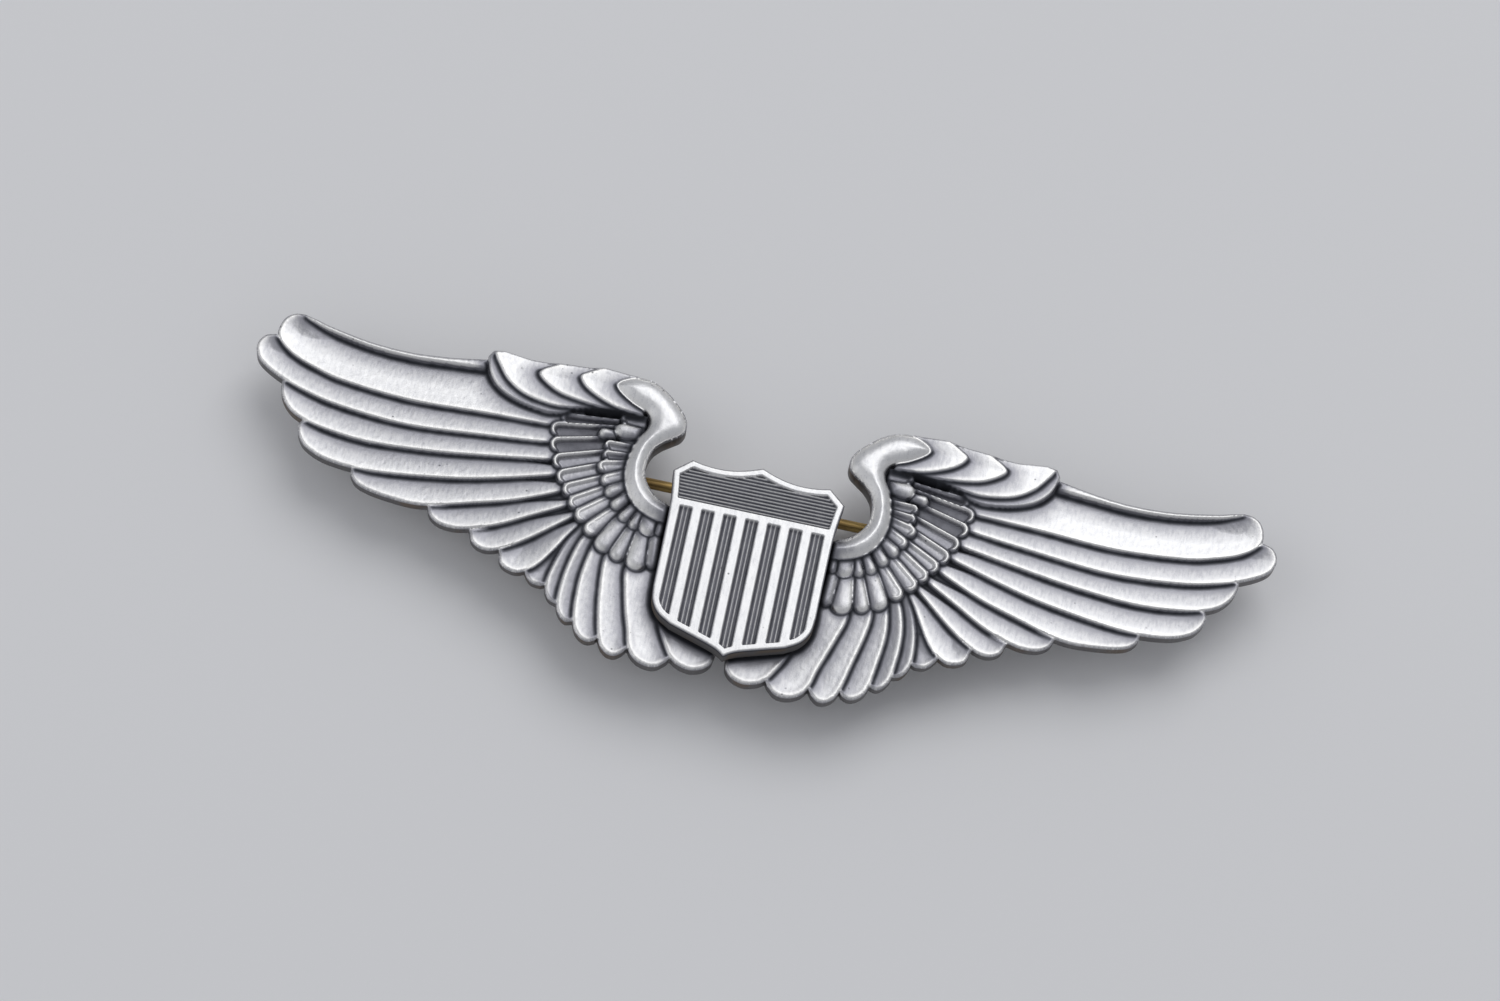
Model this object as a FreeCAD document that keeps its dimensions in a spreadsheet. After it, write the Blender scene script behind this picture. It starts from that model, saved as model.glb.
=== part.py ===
"""Pilot wings pin: two struck wings with a shield, and a hinged pin with a safety catch behind.

The outlines are drawn about the centre of the shield, with the wings' flat back at z = 0 and the face
towards +Z. Each sub-part's Placement then lifts it by "lift" and shifts it by "row_shift", so that the
row's origin is under the middle of the pin, at the level of the surface it lies on.
"""
import FreeCAD, Part
import math
import os

import Sketcher

V = FreeCAD.Vector

SIZES = [
    # whole pin
    ("span", 76.2, "wing tip to wing tip, three inches"),
    ("row_shift", 2.044, "middle of the wings above the middle of the shield"),
    ("lift", 3.73, "wings' back above the surface that the pin lies on"),
    # wings, thicknesses from the flat back
    ("top_feather", 1.30, "longest primary feather"),
    ("last_feather", 0.80, "primary feather beside the centre line"),
    ("web", 0.65, "plate that joins the feathers, under all of them"),
    ("mid_covert", 1.35, "row of larger coverts"),
    ("small_covert", 1.55, "row of small coverts"),
    ("shoulder", 1.50, "outermost shoulder feather"),
    ("shoulder_step", 0.08, "rise from one shoulder feather to the next"),
    ("neck", 1.90, "smooth neck band"),
    ("seat", 0.95, "floor of the shield's seat"),
    ("seat_gap", 0.06, "gap round the shield in its seat"),
    ("bed_inset", 0.40, "plate under the shield, inside the shield's outline"),
    # shield
    ("shield_solder", 0.10, "solder layer under the shield"),
    ("solder_inset", 0.60, "solder layer inside the shield's outline"),
    ("shield_thick", 1.20, "shield plate"),
    ("shield_half", 6.0, "half the width of the shield"),
    ("rim", 0.50, "width of the raised rim"),
    ("engrave", 0.30, "depth of the lined recesses"),
    ("line_rise", 0.18, "height of the fine lines in the chief"),
    ("chief_low", 3.82, "lower edge of the chief"),
    ("chief_high", 6.20, "highest of the chief's full-width lines"),
    ("chief_side", 5.45, "upper end of the chief's sides"),
    ("chief_flare", 0.10, "widening of the chief up its sides"),
    ("chief_horn_x", 5.00, "chief's upper corner"),
    ("chief_horn_y", 6.40, "chief's upper corner"),
    ("chief_dip_x", 3.00, "lowest point of the chief's upper edge"),
    ("chief_dip_y", 6.20, "lowest point of the chief's upper edge"),
    ("chief_peak", 6.85, "middle of the chief's upper edge"),
    ("chief_lines", 9, "fine lines across the chief"),
    ("chief_line_wide", 0.12, "width of a fine line"),
    ("stripe_top", 3.30, "upper end of the stripes"),
    ("stripe_count", 7, "recessed stripes"),
    ("stripe_pitch", 1.62, "from one stripe to the next"),
    ("stripe_wide", 0.95, "width of a recessed stripe"),
    ("stripe_low", 4.60, "lower end of the stripes, below the middle"),
    ("long_stripe_low", 6.10, "lower end of the three middle stripes"),
    # pin and findings, depths below the wings' back
    ("pin_high", 6.42, "pin above the middle of the shield"),
    ("pin_depth", 2.20, "axis of the pin below the wings' back"),
    ("hinge_x", -19.0, "hinge, to the left of the middle"),
    ("catch_x", 19.0, "catch, to the right of the middle"),
    ("film", 0.08, "solder film under a patch"),
    ("film_edge", 0.15, "solder film beyond its patch"),
    ("patch_rad", 2.60, "radius of a patch"),
    ("patch_thick", 0.30, "thickness of a patch"),
    ("sheet_thick", 0.35, "sheet of the hinge bracket and the catch"),
    ("stem_rad", 0.40, "radius of the pin"),
    ("stem_long", 40.6, "hinge axis to the point"),
    ("root_rad", 0.48, "radius of the pin where it leaves its eye"),
    ("root_long", 1.60, "hinge axis to the end of the tapered root"),
    ("point_long", 5.0, "length of the ground point"),
    ("point_flat", 0.05, "radius left at the tip"),
    ("eye_rad", 0.85, "radius of the pin's flattened eye"),
    ("eye_thick", 1.00, "thickness of the eye"),
    ("eye_bore", 0.45, "bore of the eye"),
    ("rivet_rad", 0.40, "shank of the rivet"),
    ("head_rad", 0.72, "head of the rivet"),
    ("head_thick", 0.30, "thickness of a rivet head"),
    ("head_top", 0.60, "flat top of a rivet head, as a share of its radius"),
    ("head_side", 0.40, "straight side of a rivet head, as a share of its thickness"),
    ("ear_gap", 1.10, "between the two ears"),
    ("ear_rad", 0.95, "rounded end of an ear"),
    ("ear_root", 1.15, "half the width of an ear at the foot"),
    ("bracket_half", 1.30, "half the length of the hinge's foot"),
    ("housing_rad", 1.60, "radius of a catch cheek"),
    ("cheek_gap", 0.90, "between the catch's cheeks"),
    ("cheek_root", 1.20, "half the width of a cheek at the foot"),
    ("foot_half", 1.50, "half the width of the catch's foot"),
    ("foot_thick", 0.30, "thickness of the catch's foot"),
    ("housing_bore", 1.05, "bore of a cheek"),
    ("hub_rad", 1.00, "hub of the rotor in the cheeks"),
    ("rotor_rad", 1.35, "disc of the rotor"),
    ("rotor_thick", 0.80, "thickness of the rotor's disc"),
    ("mouth_wide", 0.95, "mouth of the catch and slot of the rotor"),
    ("tab_reach", 2.2, "end of the thumb tab from the rotor's axis"),
    ("tab_wide", 0.60, "width of the thumb tab"),
    ("tab_start", 1.1, "inner end of the thumb tab, inside the disc"),
    ("tab_thin", 0.10, "thumb tab thinner than the disc"),
    ("tab_turn", 50.0, "thumb tab from the mouth, in degrees"),
    # cuts
    ("past", 5.0, "how far a cut runs past the piece that it opens"),
]

# Primary feathers of the right wing, from the longest, on the leading edge, to the one beside the centre
# line. Each is its free edge: root, middle of the shaft, heel, then an arc through the nose to the crown,
# where it comes out from under the feather before it.
PRIMARIES = [
    [(15.5, 7.9), (26.2, 7.45), (33.5, 8.4), (36.8, 10.4), (35.4, 12.5)],
    [(15.5, 6.6), (26.0, 5.5), (36.0, 7.25), (38.08, 9.3), (37.1, 10.6)],
    [(15.1, 5.2), (27.5, 3.55), (34.0, 4.45), (35.0, 5.2), (35.3, 6.2)],
    [(14.6, 4.1), (24.0, 1.8), (32.0, 1.9), (33.2, 2.75), (33.5, 3.9)],
    [(13.8, 3.0), (20.0, 0.6), (27.1, -0.1), (28.5, 0.4), (28.9, 1.4)],
    [(13.2, 2.0), (17.0, 0.0), (21.4, -1.6), (22.6, -1.1), (23.1, -0.2)],
    [(12.8, 1.1), (15.3, -1.0), (18.5, -2.7), (19.4, -2.3), (19.8, -1.3)],
    [(12.4, 0.4), (13.9, -2.2), (16.1, -3.9), (17.0, -3.4), (17.4, -2.3)],
    [(11.8, 0.2), (12.5, -2.2), (13.3, -4.2), (13.95, -4.6), (14.9, -3.6)],
    [(11.3, -0.2), (11.7, -3.0), (12.15, -5.3), (12.65, -5.6), (13.5, -4.6)],
    [(10.8, -0.6), (10.9, -3.6), (10.9, -6.4), (11.5, -6.7), (12.3, -5.6)],
    [(10.0, -1.0), (9.6, -4.5), (9.0, -7.7), (9.8, -8.1), (11.1, -6.8)],
    [(8.6, -1.4), (7.9, -5.0), (6.6, -8.5), (7.6, -8.95), (9.1, -7.8)],
    [(6.6, -1.8), (5.4, -5.2), (3.8, -8.3), (5.1, -8.9), (6.6, -8.0)],
    [(3.0, -2.0), (1.7, -5.0), (0.6, -7.8), (2.0, -8.5), (3.9, -7.6)],
]
LEADING_EDGE = [(35.4, 12.5), (33.0, 11.9), (30.0, 11.4), (27.0, 11.25), (21.4, 11.95)]
WRIST = [(21.4, 11.95), (14.0, 9.5), (15.5, 7.9)]
WEB_INNER = [(0.0, -6.0), (0.0, 2.0), (9.0, 3.6), (9.2, 8.0), (8.6, 10.5), (12.0, 11.5), (20.0, 11.0),
             (30.0, 9.0)]

# Ends of the two rows of coverts, from the shoulder round to the shield.
MID_COVERT_ENDS = [(14.4, 8.9), (14.9, 6.3), (13.3, 3.2), (10.9, 0.2), (7.3, -1.0)]
SMALL_COVERT_ENDS = [(11.2, 8.9), (11.2, 6.4), (10.2, 3.9), (7.4, 1.6)]
MID_COVERTS = 12
SMALL_COVERTS = 11
MID_COVERT_RAD = 0.95
SMALL_COVERT_RAD = 0.70

# Shoulder feathers, from the outermost: root, middle of the free edge, point, and where the edge meets
# the shoulder's upper outline.
SHOULDER_FEATHERS = [
    [(16.0, 8.9), (19.6, 9.7), (21.2, 11.3), (21.3, 12.3)],
    [(15.5, 9.4), (19.0, 10.2), (20.9, 12.0), (21.1, 12.65)],
    [(12.0, 9.6), (15.5, 10.5), (17.5, 11.7), (16.4, 12.6)],
    [(11.0, 10.0), (13.0, 10.7), (14.9, 12.1), (13.8, 12.95)],
]
SHOULDER_OUTLINE = [(21.1, 12.65), (18.5, 12.45), (16.4, 12.6), (13.8, 12.95), (10.6, 12.95)]
SHOULDER_INNER = (9.5, 9.6)

# Neck band: from the shield, up round the crook and out along the shoulder to its lobe, then back.
NECK_OUTER = [(5.0, 2.1), (7.8, 2.5), (9.6, 4.4), (9.75, 7.25), (8.95, 9.8)]
NECK_LOBE = [(8.95, 9.8), (10.3, 10.7), (11.9, 12.0), (10.6, 12.95)]
NECK_CROWN = [(10.6, 12.95), (8.3, 12.4), (6.0, 9.9), (7.4, 8.2), (8.4, 6.2), (7.5, 4.4), (5.0, 3.7)]

# Half outline of the shield, from the top cusp down to the tip. CUSP_ARC and BASE_ARC are points on the
# two arcs, from the cusp to the horn and from the base to the hip.
SHIELD_CUSP = (0.0, 7.5)
SHIELD_HORN = (5.1, 6.98)
SHIELD_EAR = (6.3, 5.9)
SHIELD_BASE = (5.95, -3.3)
SHIELD_HIP = (4.0, -6.0)
SHIELD_TIP = (0.0, -7.5)
CUSP_ARC = (2.9, 6.75)
BASE_ARC = (5.35, -5.05)

# Plate between the wings, behind the shield: half its width, and its lower and upper ends.
MIDDLE_PLATE = (5.0, -7.0, 2.0)
# How far a feather's hidden corner lies inside the feather before it.
TUCK = 0.25

document = FreeCAD.newDocument("pilot_wings_pin")
sheet = document.addObject("Spreadsheet::Sheet", "sizes")
for line, (alias, number, words) in enumerate(SIZES, start=1):
    sheet.set(f"A{line}", words)
    sheet.set(f"B{line}", str(number))
    sheet.setAlias(f"B{line}", alias)
document.recompute()
ALIASES = {alias for alias, number, words in SIZES}


def size(expression):
    """The number that a sheet expression gives, in millimetres or degrees."""
    return float(sheet.evalExpression(expression))


def bound(expression):
    """The same expression, as an object outside the sheet has to write it."""
    words = expression.split()
    return " ".join(f"sizes.{word}" if word in ALIASES else word for word in words)


# ---------------------------------------------------------------- sketches and features

def new_body(label, x="0", y="0"):
    """An empty body whose local z = 0 is the wings' back and whose local origin is at x, y."""
    body = document.addObject("PartDesign::Body", label)
    body.Label = label
    body.setExpression("Placement.Base.x", bound(x))
    body.setExpression("Placement.Base.y", bound(f"{y} - row_shift"))
    body.setExpression("Placement.Base.z", bound("lift"))
    return body


def new_sketch(body, name, plane, offset="0"):
    """A sketch on one of the body's own origin planes, moved along the plane's normal."""
    sketch = body.newObject("Sketcher::SketchObject", f"{body.Label}_{name}")
    for feature in body.Origin.OriginFeatures:
        if feature.Role == plane:
            sketch.AttachmentSupport = [(feature, "")]
    sketch.MapMode = "FlatFace"
    sketch.setExpression("AttachmentOffset.Base.z", bound(offset))
    return sketch


def hold(sketch, edge, end, x, y):
    """Bind one end of an edge, or a circle's centre, to the sheet's x and y."""
    for kind, axis, expression in (("DistanceX", -2, x), ("DistanceY", -1, y)):
        number = size(expression)
        if abs(number) < 1e-9:
            sketch.addConstraint(Sketcher.Constraint("PointOnObject", edge, end, axis))
            continue
        ends = (-1, 1, edge, end) if number > 0 else (edge, end, -1, 1)
        index = sketch.addConstraint(Sketcher.Constraint(kind, *ends, abs(number)))
        sign = "" if number > 0 else "-1 * "
        sketch.setExpression(f"Constraints[{index}]", bound(f"{sign}( {expression} )"))


def add_circle(sketch, radius, x="0", y="0"):
    centre = V(size(x), size(y), 0)
    edge = sketch.addGeometry(Part.Circle(centre, V(0, 0, 1), size(radius)))
    hold(sketch, edge, 3, x, y)
    index = sketch.addConstraint(Sketcher.Constraint("Radius", edge, size(radius)))
    sketch.setExpression(f"Constraints[{index}]", bound(radius))


def add_polygon(sketch, corners):
    """A closed outline of straight edges, each corner bound to the sheet."""
    points = [V(size(x), size(y), 0) for x, y in corners]
    edges = []
    for start, end in zip(points, points[1:] + points[:1]):
        edges.append(sketch.addGeometry(Part.LineSegment(start, end)))
    for edge, following in zip(edges, edges[1:] + edges[:1]):
        sketch.addConstraint(Sketcher.Constraint("Coincident", edge, 2, following, 1))
    for edge, (x, y) in zip(edges, corners):
        hold(sketch, edge, 1, x, y)


def add_rectangle(sketch, left, right, low, high):
    add_polygon(sketch, [(left, low), (right, low), (right, high), (left, high)])


def pad(body, sketch, length, midplane=False, reverse=False):
    feature = body.newObject("PartDesign::Pad", f"{sketch.Name}_pad")
    feature.Profile = sketch
    feature.setExpression("Length", bound(length))
    feature.Midplane = midplane
    feature.Reversed = reverse
    document.recompute()
    return feature


def pocket(body, sketch, length, midplane=False, reverse=False):
    """Cut a sketch out of the body, and make sure that it did cut."""
    before = body.Shape.Volume
    feature = body.newObject("PartDesign::Pocket", f"{sketch.Name}_pocket")
    feature.Profile = sketch
    feature.setExpression("Length", bound(length))
    feature.Midplane = midplane
    feature.Reversed = reverse
    document.recompute()
    if body.Shape.Volume > before - 1e-6:
        raise RuntimeError(f"{feature.Name} cuts nothing")
    return feature


def revolve(body, sketch, axis):
    feature = body.newObject("PartDesign::Revolution", f"{sketch.Name}_turned")
    feature.Profile = sketch
    feature.ReferenceAxis = (sketch, [axis])
    feature.Angle = 360
    document.recompute()
    return feature


def repeat(body, original, axis_sketch, axis, length, count):
    """A row of copies of one feature along a sketch's axis."""
    pattern = body.newObject("PartDesign::LinearPattern", f"{original.Name}_row")
    pattern.Originals = [original]
    pattern.Direction = (axis_sketch, [axis])
    pattern.setExpression("Length", bound(length))
    pattern.setExpression("Occurrences", bound(count))
    body.Tip = pattern
    document.recompute()
    return pattern


# ---------------------------------------------------------------- wings

SCALE = size("span / 76.2")


def spot(point, mirror=1):
    return V(point[0] * SCALE * mirror, point[1] * SCALE, 0)


def curve(points):
    """One smooth edge through the points."""
    spline = Part.BSplineCurve()
    spline.interpolate([spot(point) for point in points])
    return spline.toShape()


def straight(points):
    ends = [spot(point) for point in points]
    return [Part.makeLine(a, b) for a, b in zip(ends, ends[1:])]


def slab(edges, thickness):
    """A flat-backed plate inside a closed outline."""
    wire = Part.Wire(Part.__sortEdges__(edges))
    return Part.Face(wire).extrude(V(0, 0, thickness))


def arc(points):
    start, middle, end = [spot(point) for point in points]
    return Part.Arc(start, middle, end).toShape()


def primary(index):
    """One primary feather: free edge, rounded end, and a hidden edge back under the feather before it."""
    root, middle, heel, nose, crown = PRIMARIES[index]
    edges = [curve([root, middle, heel]), arc([heel, nose, crown])]
    if index == 0:
        edges += [curve(LEADING_EDGE)] + straight(WRIST)
    else:
        before = PRIMARIES[index - 1][0]
        edges += straight([crown, (before[0] + TUCK, before[1] + TUCK), root])
    step = size("last_feather - top_feather") / (len(PRIMARIES) - 1)
    return slab(edges, size("top_feather") + step * index)


def feather_web():
    """Thin plate under the primaries, out to where each comes out from under the one before it."""
    crowns = [feather[-1] for feather in PRIMARIES[1:]]
    return slab(straight(crowns + WEB_INNER + [crowns[0]]), size("web"))


def covert_row(ends, count, radius, thick, inner):
    """A plate up to a row of feather ends, and the rounded ends along it."""
    row = curve(ends)
    solids = [slab([row] + straight([ends[-1]] + inner + [ends[0]]), thick)]
    low, high = row.ParameterRange
    for index in range(count):
        place = row.valueAt(low + (high - low) * index / (count - 1))
        solids.append(Part.makeCylinder(radius * SCALE, thick, place))
    return solids


def shoulder_feathers():
    """Feathers over the shoulder, each a step higher than the one outside it."""
    solids = []
    for index, free_edge in enumerate(SHOULDER_FEATHERS):
        if index == 0:
            outline = [free_edge[-1]] + SHOULDER_OUTLINE
        else:
            outline = SHOULDER_OUTLINE[SHOULDER_OUTLINE.index(free_edge[-1]):]
        inner = straight([outline[-1], SHOULDER_INNER, free_edge[0]])
        thick = size("shoulder") + index * size("shoulder_step")
        solids.append(slab([curve(free_edge)] + straight(outline) + inner, thick))
    return solids


def neck():
    return slab([curve(NECK_OUTER), curve(NECK_LOBE), curve(NECK_CROWN)]
                + straight([NECK_CROWN[-1], NECK_OUTER[0]]), size("neck"))


def shield_wire(grow):
    """Outline of the shield, moved outwards by grow."""
    edges = []
    for side in (1, -1):
        cusp, horn, ear = spot(SHIELD_CUSP), spot(SHIELD_HORN, side), spot(SHIELD_EAR, side)
        base, hip, tip = spot(SHIELD_BASE, side), spot(SHIELD_HIP, side), spot(SHIELD_TIP)
        edges.append(Part.Arc(cusp, spot(CUSP_ARC, side), horn).toShape())
        edges.append(Part.makeLine(horn, ear))
        edges.append(Part.makeLine(ear, base))
        edges.append(Part.Arc(base, spot(BASE_ARC, side), hip).toShape())
        edges.append(Part.makeLine(hip, tip))
    wire = Part.Wire(Part.__sortEdges__(edges))
    return wire.makeOffset2D(grow, 2) if grow else wire


def make_wings():
    """Both wings in one struck piece: tiers of feathers on a flat back, and a seat for the shield."""
    solids = [primary(index) for index in range(len(PRIMARIES))] + [feather_web()]
    solids += covert_row(MID_COVERT_ENDS, MID_COVERTS, MID_COVERT_RAD, size("mid_covert"),
                         [(0.0, -1.0), (0.0, 2.2), (7.0, 2.6), (9.5, 5.0), (9.6, 9.4)])
    solids += covert_row(SMALL_COVERT_ENDS, SMALL_COVERTS, SMALL_COVERT_RAD, size("small_covert"),
                         [(6.0, 2.4), (8.6, 3.4), (9.4, 5.5), (9.2, 8.4), (9.0, 9.6)])
    solids += shoulder_feathers()
    solids.append(neck())
    right = solids[0].multiFuse(solids[1:])
    left = right.mirror(V(0, 0, 0), V(1, 0, 0))
    half, low, high = MIDDLE_PLATE
    middle = Part.makeBox(2 * half, high - low, size("last_feather"), V(-half, low, 0))
    both = right.fuse([left, middle])
    seat = Part.Face(shield_wire(size("seat_gap"))).extrude(V(0, 0, size("neck")))
    seat.translate(V(0, 0, size("seat")))
    under = Part.Face(shield_wire(-size("bed_inset"))).extrude(V(0, 0, size("seat")))
    both = both.fuse(under).cut(seat).removeSplitter()
    feature = document.addObject("Part::Feature", "wings")
    feature.Shape = both.Solids[0]
    feature.Placement = FreeCAD.Placement(V(0, -size("row_shift"), size("lift")), FreeCAD.Rotation())
    return feature


# ---------------------------------------------------------------- shield

def shield_sketch(body, name, offset, grow):
    """The shield's outline as a sketch, grown or shrunk, at a height above the wings' back."""
    sketch = new_sketch(body, name, "XY_Plane", offset)
    for edge in shield_wire(grow).Edges:
        first, last = edge.Vertexes[0].Point, edge.Vertexes[-1].Point
        if isinstance(edge.Curve, Part.Line):
            sketch.addGeometry(Part.LineSegment(first, last))
        else:
            low, high = edge.ParameterRange
            sketch.addGeometry(Part.Arc(first, edge.valueAt((low + high) / 2), last))
    return sketch


def make_shield():
    """Rimmed plate with a lined chief over seven recessed stripes."""
    body = new_body("shield")
    bottom = "seat + shield_solder"
    top = "seat + shield_solder + shield_thick"
    pad(body, shield_sketch(body, "outline", bottom, 0), "shield_thick")

    chief = new_sketch(body, "chief", "XY_Plane", top)
    half = "shield_half - rim"
    right_side = [(half, "chief_low"), (f"{half} + chief_flare", "chief_side"),
                  ("chief_horn_x", "chief_horn_y"), ("chief_dip_x", "chief_dip_y")]
    left_side = [(f"-1 * ( {x} )", y) for x, y in reversed(right_side)]
    add_polygon(chief, right_side + [("0", "chief_peak")] + left_side)
    pocket(body, chief, "engrave")

    lines = new_sketch(body, "lines", "XY_Plane", f"{top} - engrave")
    add_rectangle(lines, f"-1 * ( {half} )", half, "chief_low + rim / 2",
                  "chief_low + rim / 2 + chief_line_wide")
    first_line = pad(body, lines, "line_rise")
    repeat(body, first_line, lines, "V_Axis", "chief_high - chief_low - rim", "chief_lines")

    stripe = new_sketch(body, "stripe", "XY_Plane", top)
    middle = "( stripe_count - 1 ) / 2 * stripe_pitch"
    add_rectangle(stripe, f"-1 * {middle} - stripe_wide / 2", f"-1 * {middle} + stripe_wide / 2",
                  "-1 * stripe_low", "stripe_top")
    first_stripe = pocket(body, stripe, "engrave")
    repeat(body, first_stripe, stripe, "H_Axis", "( stripe_count - 1 ) * stripe_pitch", "stripe_count")

    inner = new_sketch(body, "long_stripes", "XY_Plane", top)
    add_rectangle(inner, "-1 * stripe_pitch - stripe_wide / 2", "-1 * stripe_pitch + stripe_wide / 2",
                  "-1 * long_stripe_low", "-1 * stripe_low + rim")
    first_inner = pocket(body, inner, "engrave")
    repeat(body, first_inner, inner, "H_Axis", "2 * stripe_pitch", "3")
    return body


def make_shield_solder():
    body = new_body("shield_solder")
    pad(body, shield_sketch(body, "layer", "seat", -size("solder_inset")), "shield_solder")
    return body


# ---------------------------------------------------------------- hinge

def make_patch(label, x):
    """Round sheet disc soldered to the back, under the hinge or the catch."""
    body = new_body(label, x, "pin_high")
    disc = new_sketch(body, "disc", "XY_Plane", "-1 * film")
    add_circle(disc, "patch_rad")
    pad(body, disc, "patch_thick", reverse=True)
    return body


def make_patch_solder(label, x):
    """The solder film between a patch and the wings, a little wider than the patch."""
    body = new_body(label, x, "pin_high")
    disc = new_sketch(body, "film", "XY_Plane")
    add_circle(disc, "patch_rad + film_edge")
    pad(body, disc, "film", reverse=True)
    return body


def make_hinge_bracket():
    """Bent sheet: a foot on the patch and two ears with the rivet's holes."""
    body = new_body("hinge_bracket", "hinge_x", "pin_high")
    half_wide = "ear_gap / 2 + sheet_thick"
    foot = new_sketch(body, "foot", "XY_Plane", "-1 * ( film + patch_thick )")
    add_rectangle(foot, "-1 * bracket_half", "bracket_half", f"-1 * ( {half_wide} )", half_wide)
    pad(body, foot, "sheet_thick", reverse=True)

    ears = new_sketch(body, "ears", "XZ_Plane")
    add_polygon(ears, [("-1 * ear_rad", "-1 * pin_depth"), ("ear_rad", "-1 * pin_depth"),
                       ("ear_root", "-1 * ( film + patch_thick + sheet_thick / 2 )"),
                       ("-1 * ear_root", "-1 * ( film + patch_thick + sheet_thick / 2 )")])
    pad(body, ears, "ear_gap + 2 * sheet_thick", midplane=True)
    ends = new_sketch(body, "ends", "XZ_Plane")
    add_circle(ends, "ear_rad", "0", "-1 * pin_depth")
    pad(body, ends, "ear_gap + 2 * sheet_thick", midplane=True)

    gap = new_sketch(body, "gap", "XZ_Plane")
    add_rectangle(gap, "-1 * past", "past", "-1 * past", "-1 * ( film + patch_thick + sheet_thick )")
    pocket(body, gap, "ear_gap", midplane=True)
    hole = new_sketch(body, "hole", "XZ_Plane")
    add_circle(hole, "rivet_rad", "0", "-1 * pin_depth")
    pocket(body, hole, "ear_gap + 4 * sheet_thick", midplane=True)
    return body


def make_hinge_rivet():
    """Rivet through both ears, with a chamfered head on each side."""
    body = new_body("hinge_rivet", "hinge_x", "pin_high")
    shank = "( ear_gap / 2 + sheet_thick )"
    head = f"( {shank} + head_thick )"
    edge = f"( {shank} + head_thick * head_side )"
    half = [("0", head), ("head_rad * head_top", head), ("head_rad", edge), ("head_rad", shank),
            ("rivet_rad", shank)]
    other = [(x, f"-1 * {y}") for x, y in reversed(half)]
    profile = new_sketch(body, "profile", "YZ_Plane")
    profile.setExpression("AttachmentOffset.Base.y", bound("-1 * pin_depth"))
    add_polygon(profile, [(y, x) for x, y in half + other])
    revolve(body, profile, "H_Axis")
    return body


def make_pin_stem():
    """Pin: a flattened eye on the rivet, a tapered root, a round wire and a ground point."""
    body = new_body("pin_stem", "hinge_x", "pin_high")
    eye = new_sketch(body, "eye", "XZ_Plane")
    add_circle(eye, "eye_rad", "0", "-1 * pin_depth")
    pad(body, eye, "eye_thick", midplane=True)

    wire = new_sketch(body, "wire", "XZ_Plane")
    wire.setExpression("AttachmentOffset.Base.y", bound("-1 * pin_depth"))
    start = "( eye_bore + eye_rad ) / 2"
    add_polygon(wire, [(start, "0"), ("stem_long", "0"), ("stem_long - 2 * point_flat", "point_flat"),
                       ("stem_long - point_long", "stem_rad"), ("root_long", "stem_rad"),
                       (start, "root_rad")])
    revolve(body, wire, "H_Axis")

    bore = new_sketch(body, "bore", "XZ_Plane")
    add_circle(bore, "eye_bore", "0", "-1 * pin_depth")
    pocket(body, bore, "eye_thick * 2", midplane=True)
    return body


# ---------------------------------------------------------------- catch

def make_catch_housing():
    """Foot and two round cheeks, bored for the rotor's hubs and open downwards for the pin."""
    body = new_body("catch_housing", "catch_x", "pin_high")
    half_long = "( cheek_gap / 2 + sheet_thick )"
    foot = new_sketch(body, "foot", "XY_Plane", "-1 * ( film + patch_thick )")
    add_rectangle(foot, f"-1 * {half_long}", half_long, "-1 * foot_half", "foot_half")
    pad(body, foot, "foot_thick", reverse=True)

    cheeks = new_sketch(body, "cheeks", "YZ_Plane")
    add_circle(cheeks, "housing_rad", "0", "-1 * pin_depth")
    pad(body, cheeks, "cheek_gap + 2 * sheet_thick", midplane=True)
    web = new_sketch(body, "web", "YZ_Plane")
    add_rectangle(web, "-1 * cheek_root", "cheek_root", "-1 * ( pin_depth - housing_bore )",
                  "-1 * ( film + patch_thick + foot_thick / 2 )")
    pad(body, web, "cheek_gap + 2 * sheet_thick", midplane=True)

    gap = new_sketch(body, "gap", "YZ_Plane")
    add_rectangle(gap, "-1 * past", "past", "-1 * past", "-1 * ( film + patch_thick + foot_thick )")
    pocket(body, gap, "cheek_gap", midplane=True)
    bore = new_sketch(body, "bore", "YZ_Plane")
    add_circle(bore, "housing_bore", "0", "-1 * pin_depth")
    pocket(body, bore, "cheek_gap + 4 * sheet_thick", midplane=True)
    mouth = new_sketch(body, "mouth", "YZ_Plane")
    add_rectangle(mouth, "-1 * mouth_wide / 2", "mouth_wide / 2", "-1 * past", "-1 * pin_depth")
    pocket(body, mouth, "cheek_gap + 4 * sheet_thick", midplane=True)
    return body


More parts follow.
